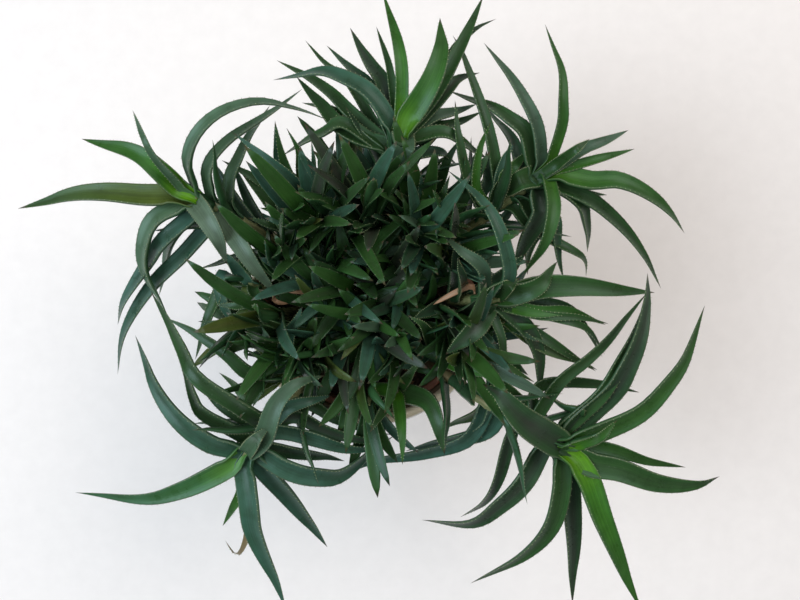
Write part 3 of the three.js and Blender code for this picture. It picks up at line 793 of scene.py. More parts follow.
def strays(leaf, reach):
    # Too far towards the front, too high, or over an opening
    low, high = leaf["line"][-1][1], leaf["line"][:, 2].max()
    return low < -reach or high > shootTop or coversOpening(leaf)


def coversOpening(leaf):
    seen = seenFromCamera(bladeSamples(leaf))
    return any(np.linalg.norm(seen - (x, y), axis=1).min() < radius for x, y, radius in openings)


def placeGrownLeaf(plant, root, axis, turn, tilt, length, width, room, recurve=growth["recurve"],
                   tries=growth["tries"], reach=None, **looks):
    for attempt in range(tries):
        leaf = growLeaf(root, axis, turn + attempt * growth["tryTurn"], tilt - attempt, recurve,
                        length - attempt * growth["tryShorter"], width, **looks)
        if reach and strays(leaf, reach):
            continue
        if placeIfClear(plant, leaf, room):
            return


def growOlderLeaves(plant, looks):
    total, count = plant["length"], looks["count"]
    for i in range(count):
        place = total - looks["youngestRoot"] - i * ((total - looks["oldestRoot"]) / count)
        root, ahead = pointsAt(plant["line"], np.array((place, place + looks["ahead"])))
        placeGrownLeaf(
            plant, root, unit(ahead - root),
            turn=i * goldenAngle + between(*looks["turnSpread"]),
            tilt=looks["tilt"] + between(*looks["tiltSpread"]),
            length=between(*looks["length"]),
            width=between(*looks["width"]),
            room=clearance["bladeRoom"], place=place, kind="long", tone="k", age=1,
        )


def crowded(hole, holes, room):
    return any(math.dist(hole, other) < room for other in holes)


def growOffset(name, hole, around, looks, holes):
    distance = math.dist(hole, growth["centre"])
    outward = np.array((math.cos(around), math.sin(around), 0))
    wander = growth["wander"]
    lean = growth["leanAtCentre"] + growth["leanPerMillimetre"] * distance + between(-wander, wander)
    if "lean" in looks:
        lean = between(*looks["lean"])
    lean = math.radians(lean)
    height = between(*looks["height"]) + looks["rise"] * distance
    crown = np.array((*hole, soilTop + growth["collarHeight"] + height))
    crown = crown + outward * looks["crownSpread"] * distance
    axis = outward * math.sin(lean) + up * math.cos(lean)
    plant = makePlant(name, hole, [crown], looks["stemRadius"], axis, distance=distance)
    places = stemPlaces(plant)
    inside = math.hypot(*hole) < looks["edge"] and hole[1] > -looks["front"]
    if not inside or crowded(hole, holes, looks["room"]) or not clearOfPot(places):
        return None
    if not clearOfOthers(places, looks["stemRoom"], name):
        return None
    keep(name, looks["stemRoom"], places)
    return plant


def growOffsetLeaves(plant, looks):
    # The scene's own shoots start at a turn of their own and vary how far their leaves bend back
    solid = "recurve" not in looks
    start = 0 if solid else between(0, 2 * math.pi)
    low, step = looks["tilt"]
    for i in range(looks["leaves"]):
        down = growth["leafGap"] * i
        root = pointsAt(plant["line"], np.array(plant["length"] - down))
        placeGrownLeaf(
            plant, root, plant["axis"],
            turn=start + i * goldenAngle + between(*looks["turnSpread"]),
            tilt=low + step * i + between(*looks["tiltSpread"]),
            length=between(*looks["length"]) + looks["outerLonger"] * plant["distance"]
            - growth["leafShorter"] * i,
            width=between(*looks["width"]),
            room=looks["bladeRoom"],
            recurve=growth["recurve"] if solid else between(*looks["recurve"]),
            tries=looks.get("tries", growth["tries"]), reach=looks.get("reach"),
            place=plant["length"] - down, kind=looks["kind"], tone="mound", age=i / looks["leaves"],
        )


def offsetPlace(index, looks):
    if "distance" in looks:
        distance = between(*looks["distance"])
        share = (index * growth["goldenShare"]) % 1
        around = math.radians(looks["from"] + (looks["to"] - looks["from"]) * share)
    else:
        distance = looks["spread"] * math.sqrt(index + growth["firstRing"])
        around = index * goldenAngle
    x, y = growth["centre"]
    return (distance * math.cos(around) + x, distance * math.sin(around) + y), around


def growOffsets(looks, holes, label):
    shoots = []
    for index in range(looks["count"]):
        hole, around = offsetPlace(index, looks)
        shoots.append(growOffset(f"{label}{index}", hole, around, looks, holes))
    shoots = [plant for plant in shoots if plant]
    for plant in shoots:
        growOffsetLeaves(plant, looks)
    return [plant for plant in shoots if len(plant["leaves"]) >= looks["fewest"]]


def growAll():
    readPlants = [readPlant(name, numbers) for name, numbers in plants.items()]
    for plant in readPlants:
        numbers = plants[plant["name"]]
        for row, tone in zip(numbers["leaves"], numbers["tones"]):
            placeReadLeaf(plant, row, tone)
        for number, leaf in enumerate(plant["leaves"]):
            leaf["width"] *= slimLeaves.get((plant["name"], number), 1)
            leaf["tipPower"] = taperedLeaves.get((plant["name"], number))
            leaf["settle"] = settledLeaves.get((plant["name"], number))
    for plant in readPlants:
        if plant["radius"] == growth["stemRadius"]:
            growOlderLeaves(plant, olderLooks)
    holes = [plant["hole"] for plant in readPlants]
    offsets = growOffsets(offsetLooks, holes, "offset ")
    for number, plant in enumerate(offsets, 1):
        plant["name"] = f"offset_{number:02d}"
    readFurtherLeaves(readPlants)
    readDryLeaves(readPlants)
    return readPlants, offsets


# Templates: each is modelled once, and its copies are bent along their own course

leafShapes = {
    "long": {"sides": 12, "rings": 24, "teeth": 26, "crowding": 1.3},
    "short": {"sides": 8, "rings": 11, "teeth": 7, "crowding": 1.15},
    "young": {"sides": 6, "rings": 8, "teeth": 0, "crowding": 1.0},
    "dry": {"sides": 6, "rings": 12, "teeth": 0, "crowding": 1.0},
}

leafForms = {
    "long": {
        "fuller": 1.08,      # width, as a share of the solid leaf's
        "rootShare": 0.96,   # width at the root, as a share of the leaf's width
        "tipPower": 2.4,     # higher is fuller towards the tip
        "settle": 0.25,      # how far the blade lies below its course, as a share of its width
        "claspEnd": 0.13,    # share of the leaf over which its base opens out
        "claspRadius": 4.6,  # mm
        "rise": 0.17,        # how far the sides stand above the middle, as a share of the width
        "fold": 0.18,        # the channel folds up towards the tip
        "plump": 1.25,       # thickness, as a share of the solid leaf's
        "keel": 0.25,        # sharpness of the keel at the tip
        "bulge": 0.03,       # how far the upper side swells, as a share of the width
        "wave": 0.45,        # mm, slight waviness of the blade
        "toothSize": 1.0,
    },
    "short": {
        "fuller": 1.08,
        "rootShare": 0.72,
        "tipPower": 5.5,
        "settle": 0,
        "claspEnd": 0.20,
        "claspRadius": 2.6,
        "rise": 0.14,
        "fold": 0.06,
        "plump": 1.0,
        "keel": 0.4,
        "bulge": 0.03,
        "wave": 0.3,
        "toothSize": 0.7,
    },
}

# Sizes of a tooth in millimetres; first and last are shares of the leaf's length
toothForm = {
    "first": 0.15,
    "last": 0.95,
    "half": 0.30,
    "length": 0.80,
    "lean": 0.30,
    "sunk": 0.30,
    "stagger": 0.2,
}

layerNames = ("along", "across", "above", "toothSide", "outward", "forward")


def vertsOf(geometry):
    return [item for item in geometry if isinstance(item, bmesh.types.BMVert)]


def edgesOf(geometry):
    return [item for item in geometry if isinstance(item, bmesh.types.BMEdge)]


def extrudeRings(form, sides, rings):
    # A tube of unit radius along +X, one unit long and closed at its start. Its last ring is returned.
    made = bmesh.ops.create_circle(form, cap_ends=True, segments=sides, radius=1)
    verts = made["verts"]
    turn = Matrix(((0, 0, 1), (1, 0, 0), (0, 1, 0)))
    bmesh.ops.rotate(form, verts=verts, matrix=turn)
    edges = [edge for edge in form.edges if len(edge.link_faces) == 1]
    for _ in range(rings):
        made = bmesh.ops.extrude_edge_only(form, edges=edges)["geom"]
        verts, edges = vertsOf(made), edgesOf(made)
        bmesh.ops.translate(form, verts=verts, vec=(1 / rings, 0, 0))
    return verts


def nameLayers(form):
    return {name: form.verts.layers.float.new(name) for name in layerNames}


def markPlaces(form, layers, finish):
    # The UV map and finish of each face, and where each point lies on the unit tube
    uvLayer = form.loops.layers.uv.new("UVMap")
    for face in form.faces:
        face.smooth = True
        face.material_index = finish
        for loop in face.loops:
            loop[uvLayer].uv = (0.5 + loop.vert.co.y / 2, loop.vert.co.x)
    for vert in form.verts:
        vert[layers["along"]] = vert.co.x
        vert[layers["across"]] = vert.co.y
        vert[layers["above"]] = vert.co.z


def meshFrom(form, name):
    mesh = bpy.data.meshes.new(name)
    form.to_mesh(mesh)
    form.free()
    return mesh


def addTooth(form, layers, place, side):
    made = bmesh.ops.create_cone(form, cap_ends=False, segments=4, radius1=toothForm["half"],
                                 radius2=0, depth=toothForm["length"] + toothForm["sunk"])
    for vert in made["verts"]:
        tip = vert.co.z > 0
        vert[layers["along"]] = place
        vert[layers["toothSide"]] = side
        vert[layers["outward"]] = toothForm["length"] if tip else -toothForm["sunk"]
        vert[layers["forward"]] = toothForm["lean"] if tip else -side * vert.co.x
        vert[layers["above"]] = 0 if tip else vert.co.y
        for face in vert.link_faces:
            face.material_index = 1
            face.smooth = True


def makeLeafTemplate(kind, looks):
    form = bmesh.new()
    layers = nameLayers(form)
    last = extrudeRings(form, looks["sides"], looks["rings"])
    bmesh.ops.pointmerge(form, verts=last, merge_co=(1, 0, 0))
    for vert in form.verts:
        vert.co.x = vert.co.x ** looks["crowding"]
    markPlaces(form, layers, 0)
    first, end = toothForm["first"], toothForm["last"]
    for side in (-1, 1):
        for i in range(looks["teeth"]):
            step = i + 0.5 + toothForm["stagger"] * side
            addTooth(form, layers, first + (end - first) * step / looks["teeth"], side)
    bmesh.ops.recalc_face_normals(form, faces=form.faces)
    return readTemplate(meshFrom(form, f"{kind} leaf template"))


def readTemplate(mesh):
    # The template's own layers, as arrays, and the mesh without them
    count = len(mesh.vertices)
    template = {"mesh": mesh, "count": count}
    for name in layerNames:
        values = np.zeros(count)
        mesh.attributes[name].data.foreach_get("value", values)
        template[name] = values
    for name in layerNames:
        mesh.attributes.remove(mesh.attributes[name])
    return template


stemForm = {
    "sides": 12,
    "rings": 72,
    "sheath": 5.5,     # mm between the sheaths of the leaves
    "flare": 0.22,     # how far a sheath's mouth stands out
    "waist": 0.90,
    "bareFoot": 6,     # mm above the soil over which the sheaths begin
    "crown": 8,        # mm over which the stem narrows to its top
    "crownShare": 0.35,
}


def makeStemTemplate():
    form = bmesh.new()
    layers = nameLayers(form)
    last = extrudeRings(form, stemForm["sides"], stemForm["rings"])
    bmesh.ops.contextual_create(form, geom=last)
    markPlaces(form, layers, 2)
    bmesh.ops.recalc_face_normals(form, faces=form.faces)
    return readTemplate(meshFrom(form, "stem template"))


templates = {kind: makeLeafTemplate(kind, looks) for kind, looks in leafShapes.items()}
templates["stem"] = makeStemTemplate()
print("leaf and stem templates made")


# Bending

sheathForm = {
    "stations": (9, 3.5, 0),         # mm below the leaf's root, along its stem
    "lowest": 0.2,
    "stemShare": 0.8,                # distance from the stem's middle, as a share of its radius
    "skin": 0.3,
    "lift": 0.5,
    "aim": 10.0,                     # mm along the leaf that tell which way it leaves the stem
    "joins": (9.0, 16.0, 24.0),      # mm along the leaf where the bend meets its course
    "gap": 0.5,
}

bladeForm = {
    "openingPower": 0.8,
    "claspPower": 0.7,
    "thinnest": 0.35,                # mm
    "claspThickness": 0.30,
    "claspStart": 0.2,
    "settleIn": 4,                   # the blade settles over the first quarter of its length
    "settleOut": 5,                  # and is back on its course over the last fifth
    "waves": 9,
    "waveShift": 6.3,
    "waveIn": 6,
}


def sheathedLine(plant, leaf):
    # The leaf's course, begun lower down along the side of its stem, where its base clasps it
    line, joins = leaf["line"], sheathForm["joins"]
    ahead = pointsAt(line, np.array(sheathForm["aim"])) - line[0]
    stations = np.maximum(leaf["place"] - np.array(sheathForm["stations"]), sheathForm["lowest"])
    below, under, at = pointsAt(plant["line"], stations)
    stemWay = unit(at - below)
    outward = unit(ahead - stemWay * stemWay.dot(ahead))
    radius = plant["radius"] * sheathForm["stemShare"] + sheathForm["skin"]
    bend = curveThrough([below + outward * radius, under + outward * (radius + sheathForm["lift"]),
                         *pointsAt(line, np.array(joins))])
    rest = line[lengthsAlong(line) > joins[-1] + sheathForm["gap"]]
    return np.vstack((bend, rest)), lengthsAlong(bend)[-1] - joins[-1]


def formOf(leaf):
    return leafForms["long" if leaf["kind"] == "long" else "short"]


def leafProfile(leaf, t):
    # Width, curl and thickness at each place, where t is 0 at the leaf's root and below it is its sheath
    form = formOf(leaf)
    share, tipPower = form["rootShare"], leaf.get("tipPower") or form["tipPower"]
    opening = share + (1 - share) * np.clip(t / blade["widestPlace"], 0, 1) ** bladeForm["openingPower"]
    width = form["fuller"] * leaf["width"] * opening * np.maximum(1 - np.maximum(t, 0) ** tipPower, 0)
    opened = np.clip(t / form["claspEnd"], 0, 1) ** bladeForm["claspPower"]
    channel = (8 * form["rise"] + 5 * form["fold"] * t ** 2) / leaf["width"]
    curl = (1 - opened) / form["claspRadius"] + opened * channel
    thick = np.maximum(blade["keelDepth"] * form["plump"] * width, bladeForm["thinnest"])
    thickened = np.clip(t / form["claspEnd"] + bladeForm["claspStart"], 0, 1)
    thin = bladeForm["claspThickness"]
    return width, curl, thick * (thin + (1 - thin) * thickened)


def bendLeaf(template, plant, leaf, chance):
    form = formOf(leaf)
    line, sheath = (leaf["line"], 0) if leaf["kind"] == "dry" else sheathedLine(plant, leaf)
    lengths = lengthsAlong(line)
    rooted = {**leaf, "line": line, "length": lengths[-1]}
    places, index = np.unique(template["along"], return_inverse=True)
    points, tangents, across, upper = (rows[index] for rows in leafFrames(rooted, places))
    t = (template["along"] * lengths[-1] - sheath) / (lengths[-1] - sheath)
    width, curl, thick = leafProfile(leaf, t)
    settle = form["settle"] if leaf.get("settle") is None else leaf["settle"]
    free = np.clip(t * bladeForm["settleIn"], 0, 1) * np.clip(bladeForm["settleOut"] * (1 - t), 0, 1)
    points = points - upper * (settle * leaf["width"] * free)[:, None]
    side = template["toothSide"]
    onBlade = side == 0
    s = np.where(onBlade, template["across"], side)
    above = np.where(onBlade, template["above"], 0)
    roundness = np.abs(above)
    sharpness = form["keel"] * np.clip(t, 0, 1)
    keel = (1 - sharpness) * roundness + sharpness * (1 - np.abs(s))
    lift = np.where(above > 0, form["bulge"] * width * roundness, -thick * keel)
    lift = lift + np.where(onBlade, 0, template["above"] * form["toothSize"])
    waves = np.sin(t * bladeForm["waves"] + chance * bladeForm["waveShift"])
    lift = lift + form["wave"] * waves * (1 - t) * np.clip(t * bladeForm["waveIn"], 0, 1)
    angle = curl * s * width / 2
    outward = side * template["outward"] * form["toothSize"]
    reach = np.sin(angle) / curl - lift * np.sin(angle) + outward * np.cos(angle)
    level = (1 - np.cos(angle)) / curl + lift * np.cos(angle) + np.abs(outward) * np.sin(np.abs(angle))
    return (points + across * reach[:, None] + upper * level[:, None]
            + tangents * (template["forward"] * form["toothSize"])[:, None])


def bendStem(template, plant):
    foot = np.array((*plant["hole"], soilTop - growth["soilGrip"]), float)
    line = np.vstack((foot, plant["line"]))
    lengths = lengthsAlong(line)
    t = template["along"]
    places, index = np.unique(np.round(t, 5), return_inverse=True)
    points = pointsAt(line, lengths[-1] * places)
    tangents = tangentsOf(points)
    sideways = np.cross((0, 1, 0), tangents)
    sideways = sideways / np.linalg.norm(sideways, axis=1)[:, None]
    other = np.cross(tangents, sideways)
    sheath = (lengths[-1] * places / stemForm["sheath"]) % 1
    free = np.clip((lengths[-1] * places - growth["soilGrip"]) / stemForm["bareFoot"], 0, 1)
    radius = plant["radius"] * (1 - free * (1 - stemForm["waist"] - stemForm["flare"] * sheath ** 2))
    taper = np.clip((lengths[-1] * (1 - places)) / stemForm["crown"], stemForm["crownShare"], 1)
    radius = (radius * taper)[index]
    return (points[index] + sideways[index] * (template["across"] * radius)[:, None]
            + other[index] * (template["above"] * radius)[:, None])


def newPiece(name, mesh, materials, *, replaces=()):
    for material in materials:
        mesh.materials.append(material)
    piece = bpy.data.objects.new(name, mesh)
    scene.collection.objects.link(piece)
    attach(piece, "root")
    if replaces:
        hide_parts(*replaces)
    return piece


def addVectors(mesh, name, values):
    attribute = mesh.attributes.new(name, "FLOAT_VECTOR", "POINT")
    attribute.data.foreach_set("vector", np.ascontiguousarray(values, dtype=np.float32).ravel())


def plantMesh(name, grown):
    # All the leaves and stems of some plants in one mesh, with each leaf's looks on its points
    form = bmesh.new()
    places = []
    layers = {"leafTone": [], "leafTint": [], "leafStain": [], "leafWear": []}
    for plant in grown:
        for part in (plant, *plant["leaves"]):
            template = templates[part.get("kind", "stem")]
            count = template["count"]
            form.from_mesh(template["mesh"])
            chance = leafChance.random()
            if part is plant:
                places.append(bendStem(template, plant))
                tone = tint = stain = (0, 0, 0)
            else:
                places.append(bendLeaf(template, plant, part, chance))
                tone, tint, stain = toneOf(part)
            above = template["above"] * (template["toothSide"] == 0)
            wear = (np.full(count, part.get("age", 1)), np.full(count, chance), above * 0.5 + 0.5)
            layers["leafTone"].append(np.tile(tone, (count, 1)))
            layers["leafTint"].append(np.tile(tint, (count, 1)))
            layers["leafStain"].append(np.tile(stain, (count, 1)))
            layers["leafWear"].append(np.column_stack(wear))
    mesh = meshFrom(form, name)
    mesh.vertices.foreach_set("co", (np.vstack(places) * mm).ravel())
    for layer, rows in layers.items():
        addVectors(mesh, layer, np.vstack(rows))
    mesh.update()
    return mesh


# Material helpers

def addNode(tree, kind, **values):
    node = tree.nodes.new(kind)
    for name, value in values.items():
        setattr(node, name, value)
    return node


def feed(tree, socket, value):
    # A socket takes another node's output or a plain value
    if isinstance(value, bpy.types.NodeSocket):
        tree.links.new(value, socket)
    elif isinstance(value, tuple) and len(value) == 3 and socket.type == "RGBA":
        socket.default_value = (*value, 1)
    else:
        socket.default_value = value


def maths(tree, operation, first, second=0.0):
    node = addNode(tree, "ShaderNodeMath", operation=operation)
    feed(tree, node.inputs[0], first)
    feed(tree, node.inputs[1], second)
    return node.outputs[0]


def times(tree, first, second):
    return maths(tree, "MULTIPLY", first, second)


def blend(tree, factor, first, second, mode="MIX"):
    node = addNode(tree, "ShaderNodeMix", data_type="RGBA", blend_type=mode)
    feed(tree, node.inputs[0], factor)
    feed(tree, node.inputs[6], first)
    feed(tree, node.inputs[7], second)
    return node.outputs[2]


def greyOf(tree, value):
    node = addNode(tree, "ShaderNodeCombineColor")
    for socket in node.inputs:
        feed(tree, socket, value)
    return node.outputs[0]


def stretch(tree, value, fromLow, fromHigh, toLow=0.0, toHigh=1.0, smooth=False):
    node = addNode(tree, "ShaderNodeMapRange", interpolation_type="SMOOTHSTEP" if smooth else "LINEAR")
    for socket, number in zip(node.inputs, (value, fromLow, fromHigh, toLow, toHigh)):
        feed(tree, socket, number)
    return node.outputs[0]


def noiseOf(tree, vector, scale, detail, roughness=0.55):
    node = addNode(tree, "ShaderNodeTexNoise")
    feed(tree, node.inputs["Vector"], vector)
    feed(tree, node.inputs["Scale"], scale)
    node.inputs["Detail"].default_value = detail
    node.inputs["Roughness"].default_value = roughness
    return node.outputs["Fac"]


def splitVector(tree, vector):
    node = addNode(tree, "ShaderNodeSeparateXYZ")
    feed(tree, node.inputs[0], vector)
    return node.outputs


def attributeParts(tree, name):
    node = addNode(tree, "ShaderNodeAttribute", attribute_name=name)
    return splitVector(tree, node.outputs["Vector"])


def newMaterial(name, roughness, coat=0.0, specular=0.5):
    material = bpy.data.materials.new(name)
    material.use_nodes = True
    tree = material.node_tree
    shader = tree.nodes["Principled BSDF"]
    shader.inputs["Roughness"].default_value = roughness
    shader.inputs["Coat Weight"].default_value = coat
    shader.inputs["Specular IOR Level"].default_value = specular
    return material, tree, shader


def bumpFrom(tree, shader, height, strength, distance):
    node = addNode(tree, "ShaderNodeBump")
    node.inputs["Strength"].default_value = strength
    node.inputs["Distance"].default_value = distance
    feed(tree, node.inputs["Height"], height)
    feed(tree, shader.inputs["Normal"], node.outputs["Normal"])


def newGroup(name, inputs, outputs):
    group = bpy.data.node_groups.new(name, "ShaderNodeTree")
    for label, kind in inputs:
        group.interface.new_socket(label, in_out="INPUT", socket_type=kind)
    for label, kind in outputs:
        group.interface.new_socket(label, in_out="OUTPUT", socket_type=kind)
    return group, addNode(group, "NodeGroupInput"), addNode(group, "NodeGroupOutput")


def placeGroup(tree, group, **values):
    node = addNode(tree, "ShaderNodeGroup", node_tree=group)
    for name, value in values.items():
        feed(tree, node.inputs[name], value)
    return node.outputs


def makeGrainGroup():
    # Two sizes of noise on Object coordinates: broad clouds and fine grain
    group, entry, end = newGroup(
        "surface grain",
        [("Broad", "NodeSocketFloat"), ("Fine", "NodeSocketFloat")],
        [("Clouds", "NodeSocketFloat"), ("Grain", "NodeSocketFloat")],
    )
    place = addNode(group, "ShaderNodeTexCoord").outputs["Object"]
    clouds = noiseOf(group, place, entry.outputs["Broad"], 3.0)
    grain = noiseOf(group, place, entry.outputs["Fine"], 2.0, 0.6)
    feed(group, end.inputs["Clouds"], clouds)
    feed(group, end.inputs["Grain"], grain)
    return group


def makeStreakGroup():
    # Fine lines along a leaf, drawn on its own UV map and shifted by its chance value
    group, entry, end = newGroup(
        "lengthwise streaks",
        [("Across", "NodeSocketFloat"), ("Along", "NodeSocketFloat"), ("Chance", "NodeSocketFloat")],
        [("Lines", "NodeSocketFloat"), ("Bands", "NodeSocketFloat")],
    )
    uv = splitVector(group, addNode(group, "ShaderNodeUVMap").outputs["UV"])

    def stretchedNoise(acrossScale, alongScale, detail):
        joined = addNode(group, "ShaderNodeCombineXYZ")
        feed(group, joined.inputs[0], times(group, uv[0], acrossScale))
        feed(group, joined.inputs[1], times(group, uv[1], alongScale))
        feed(group, joined.inputs[2], times(group, entry.outputs["Chance"], 37.0))
        return noiseOf(group, joined.outputs[0], 1.0, detail)

    feed(group, end.inputs["Lines"], stretchedNoise(entry.outputs["Across"], entry.outputs["Along"], 3.0))
    feed(group, end.inputs["Bands"], stretchedNoise(3.0, 5.0, 2.0))
    return group


grainGroup = makeGrainGroup()
streakGroup = makeStreakGroup()


# Leaf, tooth and stem finishes

leafLooks = {
    "mature": (0.023, 0.060, 0.019),
    "fresh": (0.040, 0.145, 0.015),
    # The blue-green is partly the leaves' waxy bloom and partly a painted bluish sheen of the window
    # light
    "bloomAndPaintedSheen": (0.038, 0.102, 0.082),
    "slate": (0.024, 0.050, 0.028),
    "olive": (0.085, 0.120, 0.020),
    "pale": (0.096, 0.150, 0.104),
    "dry": (0.42, 0.25, 0.15),
    "underside": (0.022, 0.070, 0.026),
    "margin": (0.120, 0.150, 0.095),
    "tip": (0.090, 0.055, 0.038),
    "lime": (0.110, 0.290, 0.006),
    "edge": (0.026, 0.090, 0.024),
    "purple": (0.036, 0.036, 0.030),
    "fleck": (0.110, 0.165, 0.110),
    "yellow": (0.115, 0.125, 0.020),
    "shine": (0.66, 0.94, 0.96),   # tint of the waxy reflection
    "roughness": (0.25, 0.37),
}

# What each letter of a plant's tones mixes into the mature green
toneNames = {
    "f": {"fresh": 0.95},
    "g": {},
    # A blue-green share in a tone is partly the leaves' waxy bloom and partly a painted bluish sheen of
    # the window light
    "t": {"bloomAndSheen": 0.75},
    "s": {"dull": 0.85},
    "w": {"pale": 0.36, "bloomAndSheen": 0.40},
    "v": {"fresh": 0.6, "bloomAndSheen": 0.45, "pale": 0.42},
    "a": {"pale": 0.9, "olive": 0.25},
    "o": {"olive": 0.75},
    "d": {"dry": 1.0},
    "b": {"fresh": 0.45},
    "k": {"dull": 0.35, "bloomAndSheen": 0.35},
    "p": {"dull": 0.9, "plum": 0.45},
    "y": {"yellow": 0.5},
    "h": {"olive": 0.6, "dry": 0.4},
    "e": {"fresh": 0.9, "bloomAndSheen": 0.45},
}

moundTones = "gbbbgttkpbgbgtbogbktgbpwbgtgbbyg"
toneParts = ("fresh", "bloomAndSheen", "dull", "olive", "pale", "plum", "yellow")
toneSpread = {"shade": (0.85, 1.15), "young": 0.25}


def toneOf(leaf):
    letter = leaf["tone"]
    if letter == "mound":
        letter = leafChance.choice(moundTones)
    tone = toneNames[letter]
    shade = leafChance.uniform(*toneSpread["shade"])
    young = toneSpread["young"] * max(0, 1 - 3 * leaf["age"])
    fresh, bloomAndSheen, dull, olive, pale, plum, yellow = (tone.get(part, 0) * shade for part in toneParts)
    return (fresh + young, bloomAndSheen, dull), (olive, pale, tone.get("dry", 0)), (plum, yellow, 0)


def leafPlaces(tree):
    # Where on its leaf a point lies, the noise there, and how far it is towards the upper side
    _, chance, above = attributeParts(tree, "leafWear")
    uv = splitVector(tree, addNode(tree, "ShaderNodeUVMap").outputs["UV"])
    offMiddle = maths(tree, "ABSOLUTE", maths(tree, "SUBTRACT", times(tree, uv[0], 2.0), 1.0))
    clouds, grain = placeGroup(tree, grainGroup, Broad=70.0, Fine=900.0)
    lines, bands = placeGroup(tree, streakGroup, Across=26.0, Along=1.6, Chance=chance)
    spots, _ = placeGroup(tree, streakGroup, Across=14.0, Along=70.0, Chance=chance)
    return {
        "along": uv[1], "offMiddle": offMiddle, "middle": maths(tree, "SUBTRACT", 1.0, offMiddle),
        "above": above, "clouds": clouds, "grain": grain, "lines": lines, "bands": bands, "spots": spots,
    }


def mixTones(tree, looks, at):
    # The mature green, with the tones mixed in that the leaf's points carry
    fresh, bloomAndSheen, dull = attributeParts(tree, "leafTone")
    olive, pale, _ = attributeParts(tree, "leafTint")
    plum, yellow, _ = attributeParts(tree, "leafStain")
    along, bands = at["along"], at["bands"]
    freshShare = times(tree, fresh, stretch(tree, along, 0.0, 0.75, 1.0, 0.35))
    colour = blend(tree, freshShare, looks["mature"], looks["fresh"])
    limeShare = times(tree, stretch(tree, fresh, 0.5, 0.9),
                      stretch(tree, along, 0.03, 0.30, 0.9, 0.0))
    colour = blend(tree, limeShare, colour, looks["lime"])
    edgeShare = times(tree, stretch(tree, at["offMiddle"], 0.45, 0.9, 0.0, 0.6, smooth=True),
                      stretch(tree, bands, 0.3, 0.7))
    colour = blend(tree, edgeShare, colour, looks["edge"])
    # Blue-green, partly the waxy bloom and partly a painted bluish sheen of the window light on the
    # leaves
    bloomAndSheenShare = times(tree, bloomAndSheen, stretch(tree, at["clouds"], 0.3, 0.7, 0.6, 1.0))
    colour = blend(tree, bloomAndSheenShare, colour, looks["bloomAndPaintedSheen"])
    dullShare = times(tree, dull, stretch(tree, at["middle"], 0.0, 0.8, 0.45, 1.0))
    colour = blend(tree, dullShare, colour, looks["slate"])
    oliveShare = times(tree, olive, stretch(tree, along, 0.15, 0.8, 1.0, 0.1))
    colour = blend(tree, oliveShare, colour, looks["olive"])
    colour = blend(tree, pale, colour, looks["pale"])
    colour = blend(tree, plum, colour, looks["purple"])
    yellowShare = times(tree, yellow, stretch(tree, bands, 0.25, 0.75, 0.5, 1.0))
    return blend(tree, yellowShare, colour, looks["yellow"])


def addStreaks(tree, looks, at, colour):
    # Lines and clouds in the green, the dark channel down the middle and the pale flecks
    fresh, _, dull = attributeParts(tree, "leafTone")
    streaks = greyOf(tree, stretch(tree, at["lines"], 0.25, 0.75, 0.74, 1.26))
    colour = blend(tree, 1.0, colour, streaks, "MULTIPLY")
    mottle = greyOf(tree, stretch(tree, at["clouds"], 0.25, 0.75, 0.80, 1.20))
    colour = blend(tree, 1.0, colour, mottle, "MULTIPLY")
    channel = times(tree, stretch(tree, at["middle"], 0.35, 0.95, 0.0, 0.65, smooth=True),
                    stretch(tree, dull, 0.0, 0.8, 0.40, 1.0))
    channel = times(tree, channel, stretch(tree, at["bands"], 0.3, 0.7, 0.4, 1.0))
    channel = times(tree, channel, stretch(tree, fresh, 0.2, 0.9, 1.0, 0.0))
    colour = blend(tree, channel, colour, looks["purple"])
    flecks = times(tree, stretch(tree, at["spots"], 0.66, 0.72, 0.0, 0.35),
                   stretch(tree, at["along"], 0.1, 0.3))
    return blend(tree, flecks, colour, looks["fleck"])


def addMargins(tree, looks, at, colour):
    # The pale margins, the brown tip and, on a dry leaf, straw colour all over
    _, _, dry = attributeParts(tree, "leafTint")
    marginShare = times(tree, stretch(tree, at["offMiddle"], 0.88, 1.0, 0.0, 0.55, smooth=True),
                        stretch(tree, at["along"], 0.02, 0.12))
    colour = blend(tree, marginShare, colour, looks["margin"])
    tipShare = stretch(tree, maths(tree, "ADD", at["along"], times(tree, at["bands"], 0.05)),
                       0.965, 1.0, 0.0, 0.6, smooth=True)
    colour = blend(tree, tipShare, colour, looks["tip"])
    dryShare = times(tree, dry, stretch(tree, at["lines"], 0.2, 0.6, 0.7, 1.0))
    return blend(tree, dryShare, colour, looks["dry"])


def makeLeafMaterial(looks):
    material, tree, shader = newMaterial("waxy leaf", 0.4, specular=0.24)
    shader.inputs["Specular Tint"].default_value = (*looks["shine"], 1)
    at = leafPlaces(tree)
    colour = mixTones(tree, looks, at)
    underShare = stretch(tree, at["above"], 0.25, 0.5, 0.9, 0.0, smooth=True)
    colour = blend(tree, underShare, colour, looks["underside"])
    colour = addStreaks(tree, looks, at, colour)
    colour = addMargins(tree, looks, at, colour)
    feed(tree, shader.inputs["Base Color"], colour)
    feed(tree, shader.inputs["Roughness"], stretch(tree, at["clouds"], 0.3, 0.7, *looks["roughness"]))
    height = maths(tree, "ADD", times(tree, at["lines"], 0.7), times(tree, at["grain"], 0.3))
    bumpFrom(tree, shader, height, 0.35, 0.0004)
    return material


toothLooks = {
    "dull": (0.20, 0.27, 0.13),
    "bright": (0.34, 0.40, 0.22),
}


def makeToothMaterial(looks):
    material, tree, shader = newMaterial("leaf teeth", 0.45)
    clouds, _ = placeGroup(tree, grainGroup, Broad=300.0, Fine=1500.0)
    colour = blend(tree, stretch(tree, clouds, 0.35, 0.65), looks["dull"], looks["bright"])
    feed(tree, shader.inputs["Base Color"], colour)
    return material


stemLooks = {
    "sheath": (0.20, 0.22, 0.095),
    "green": (0.070, 0.125, 0.035),
    "brown": (0.17, 0.105, 0.055),
}


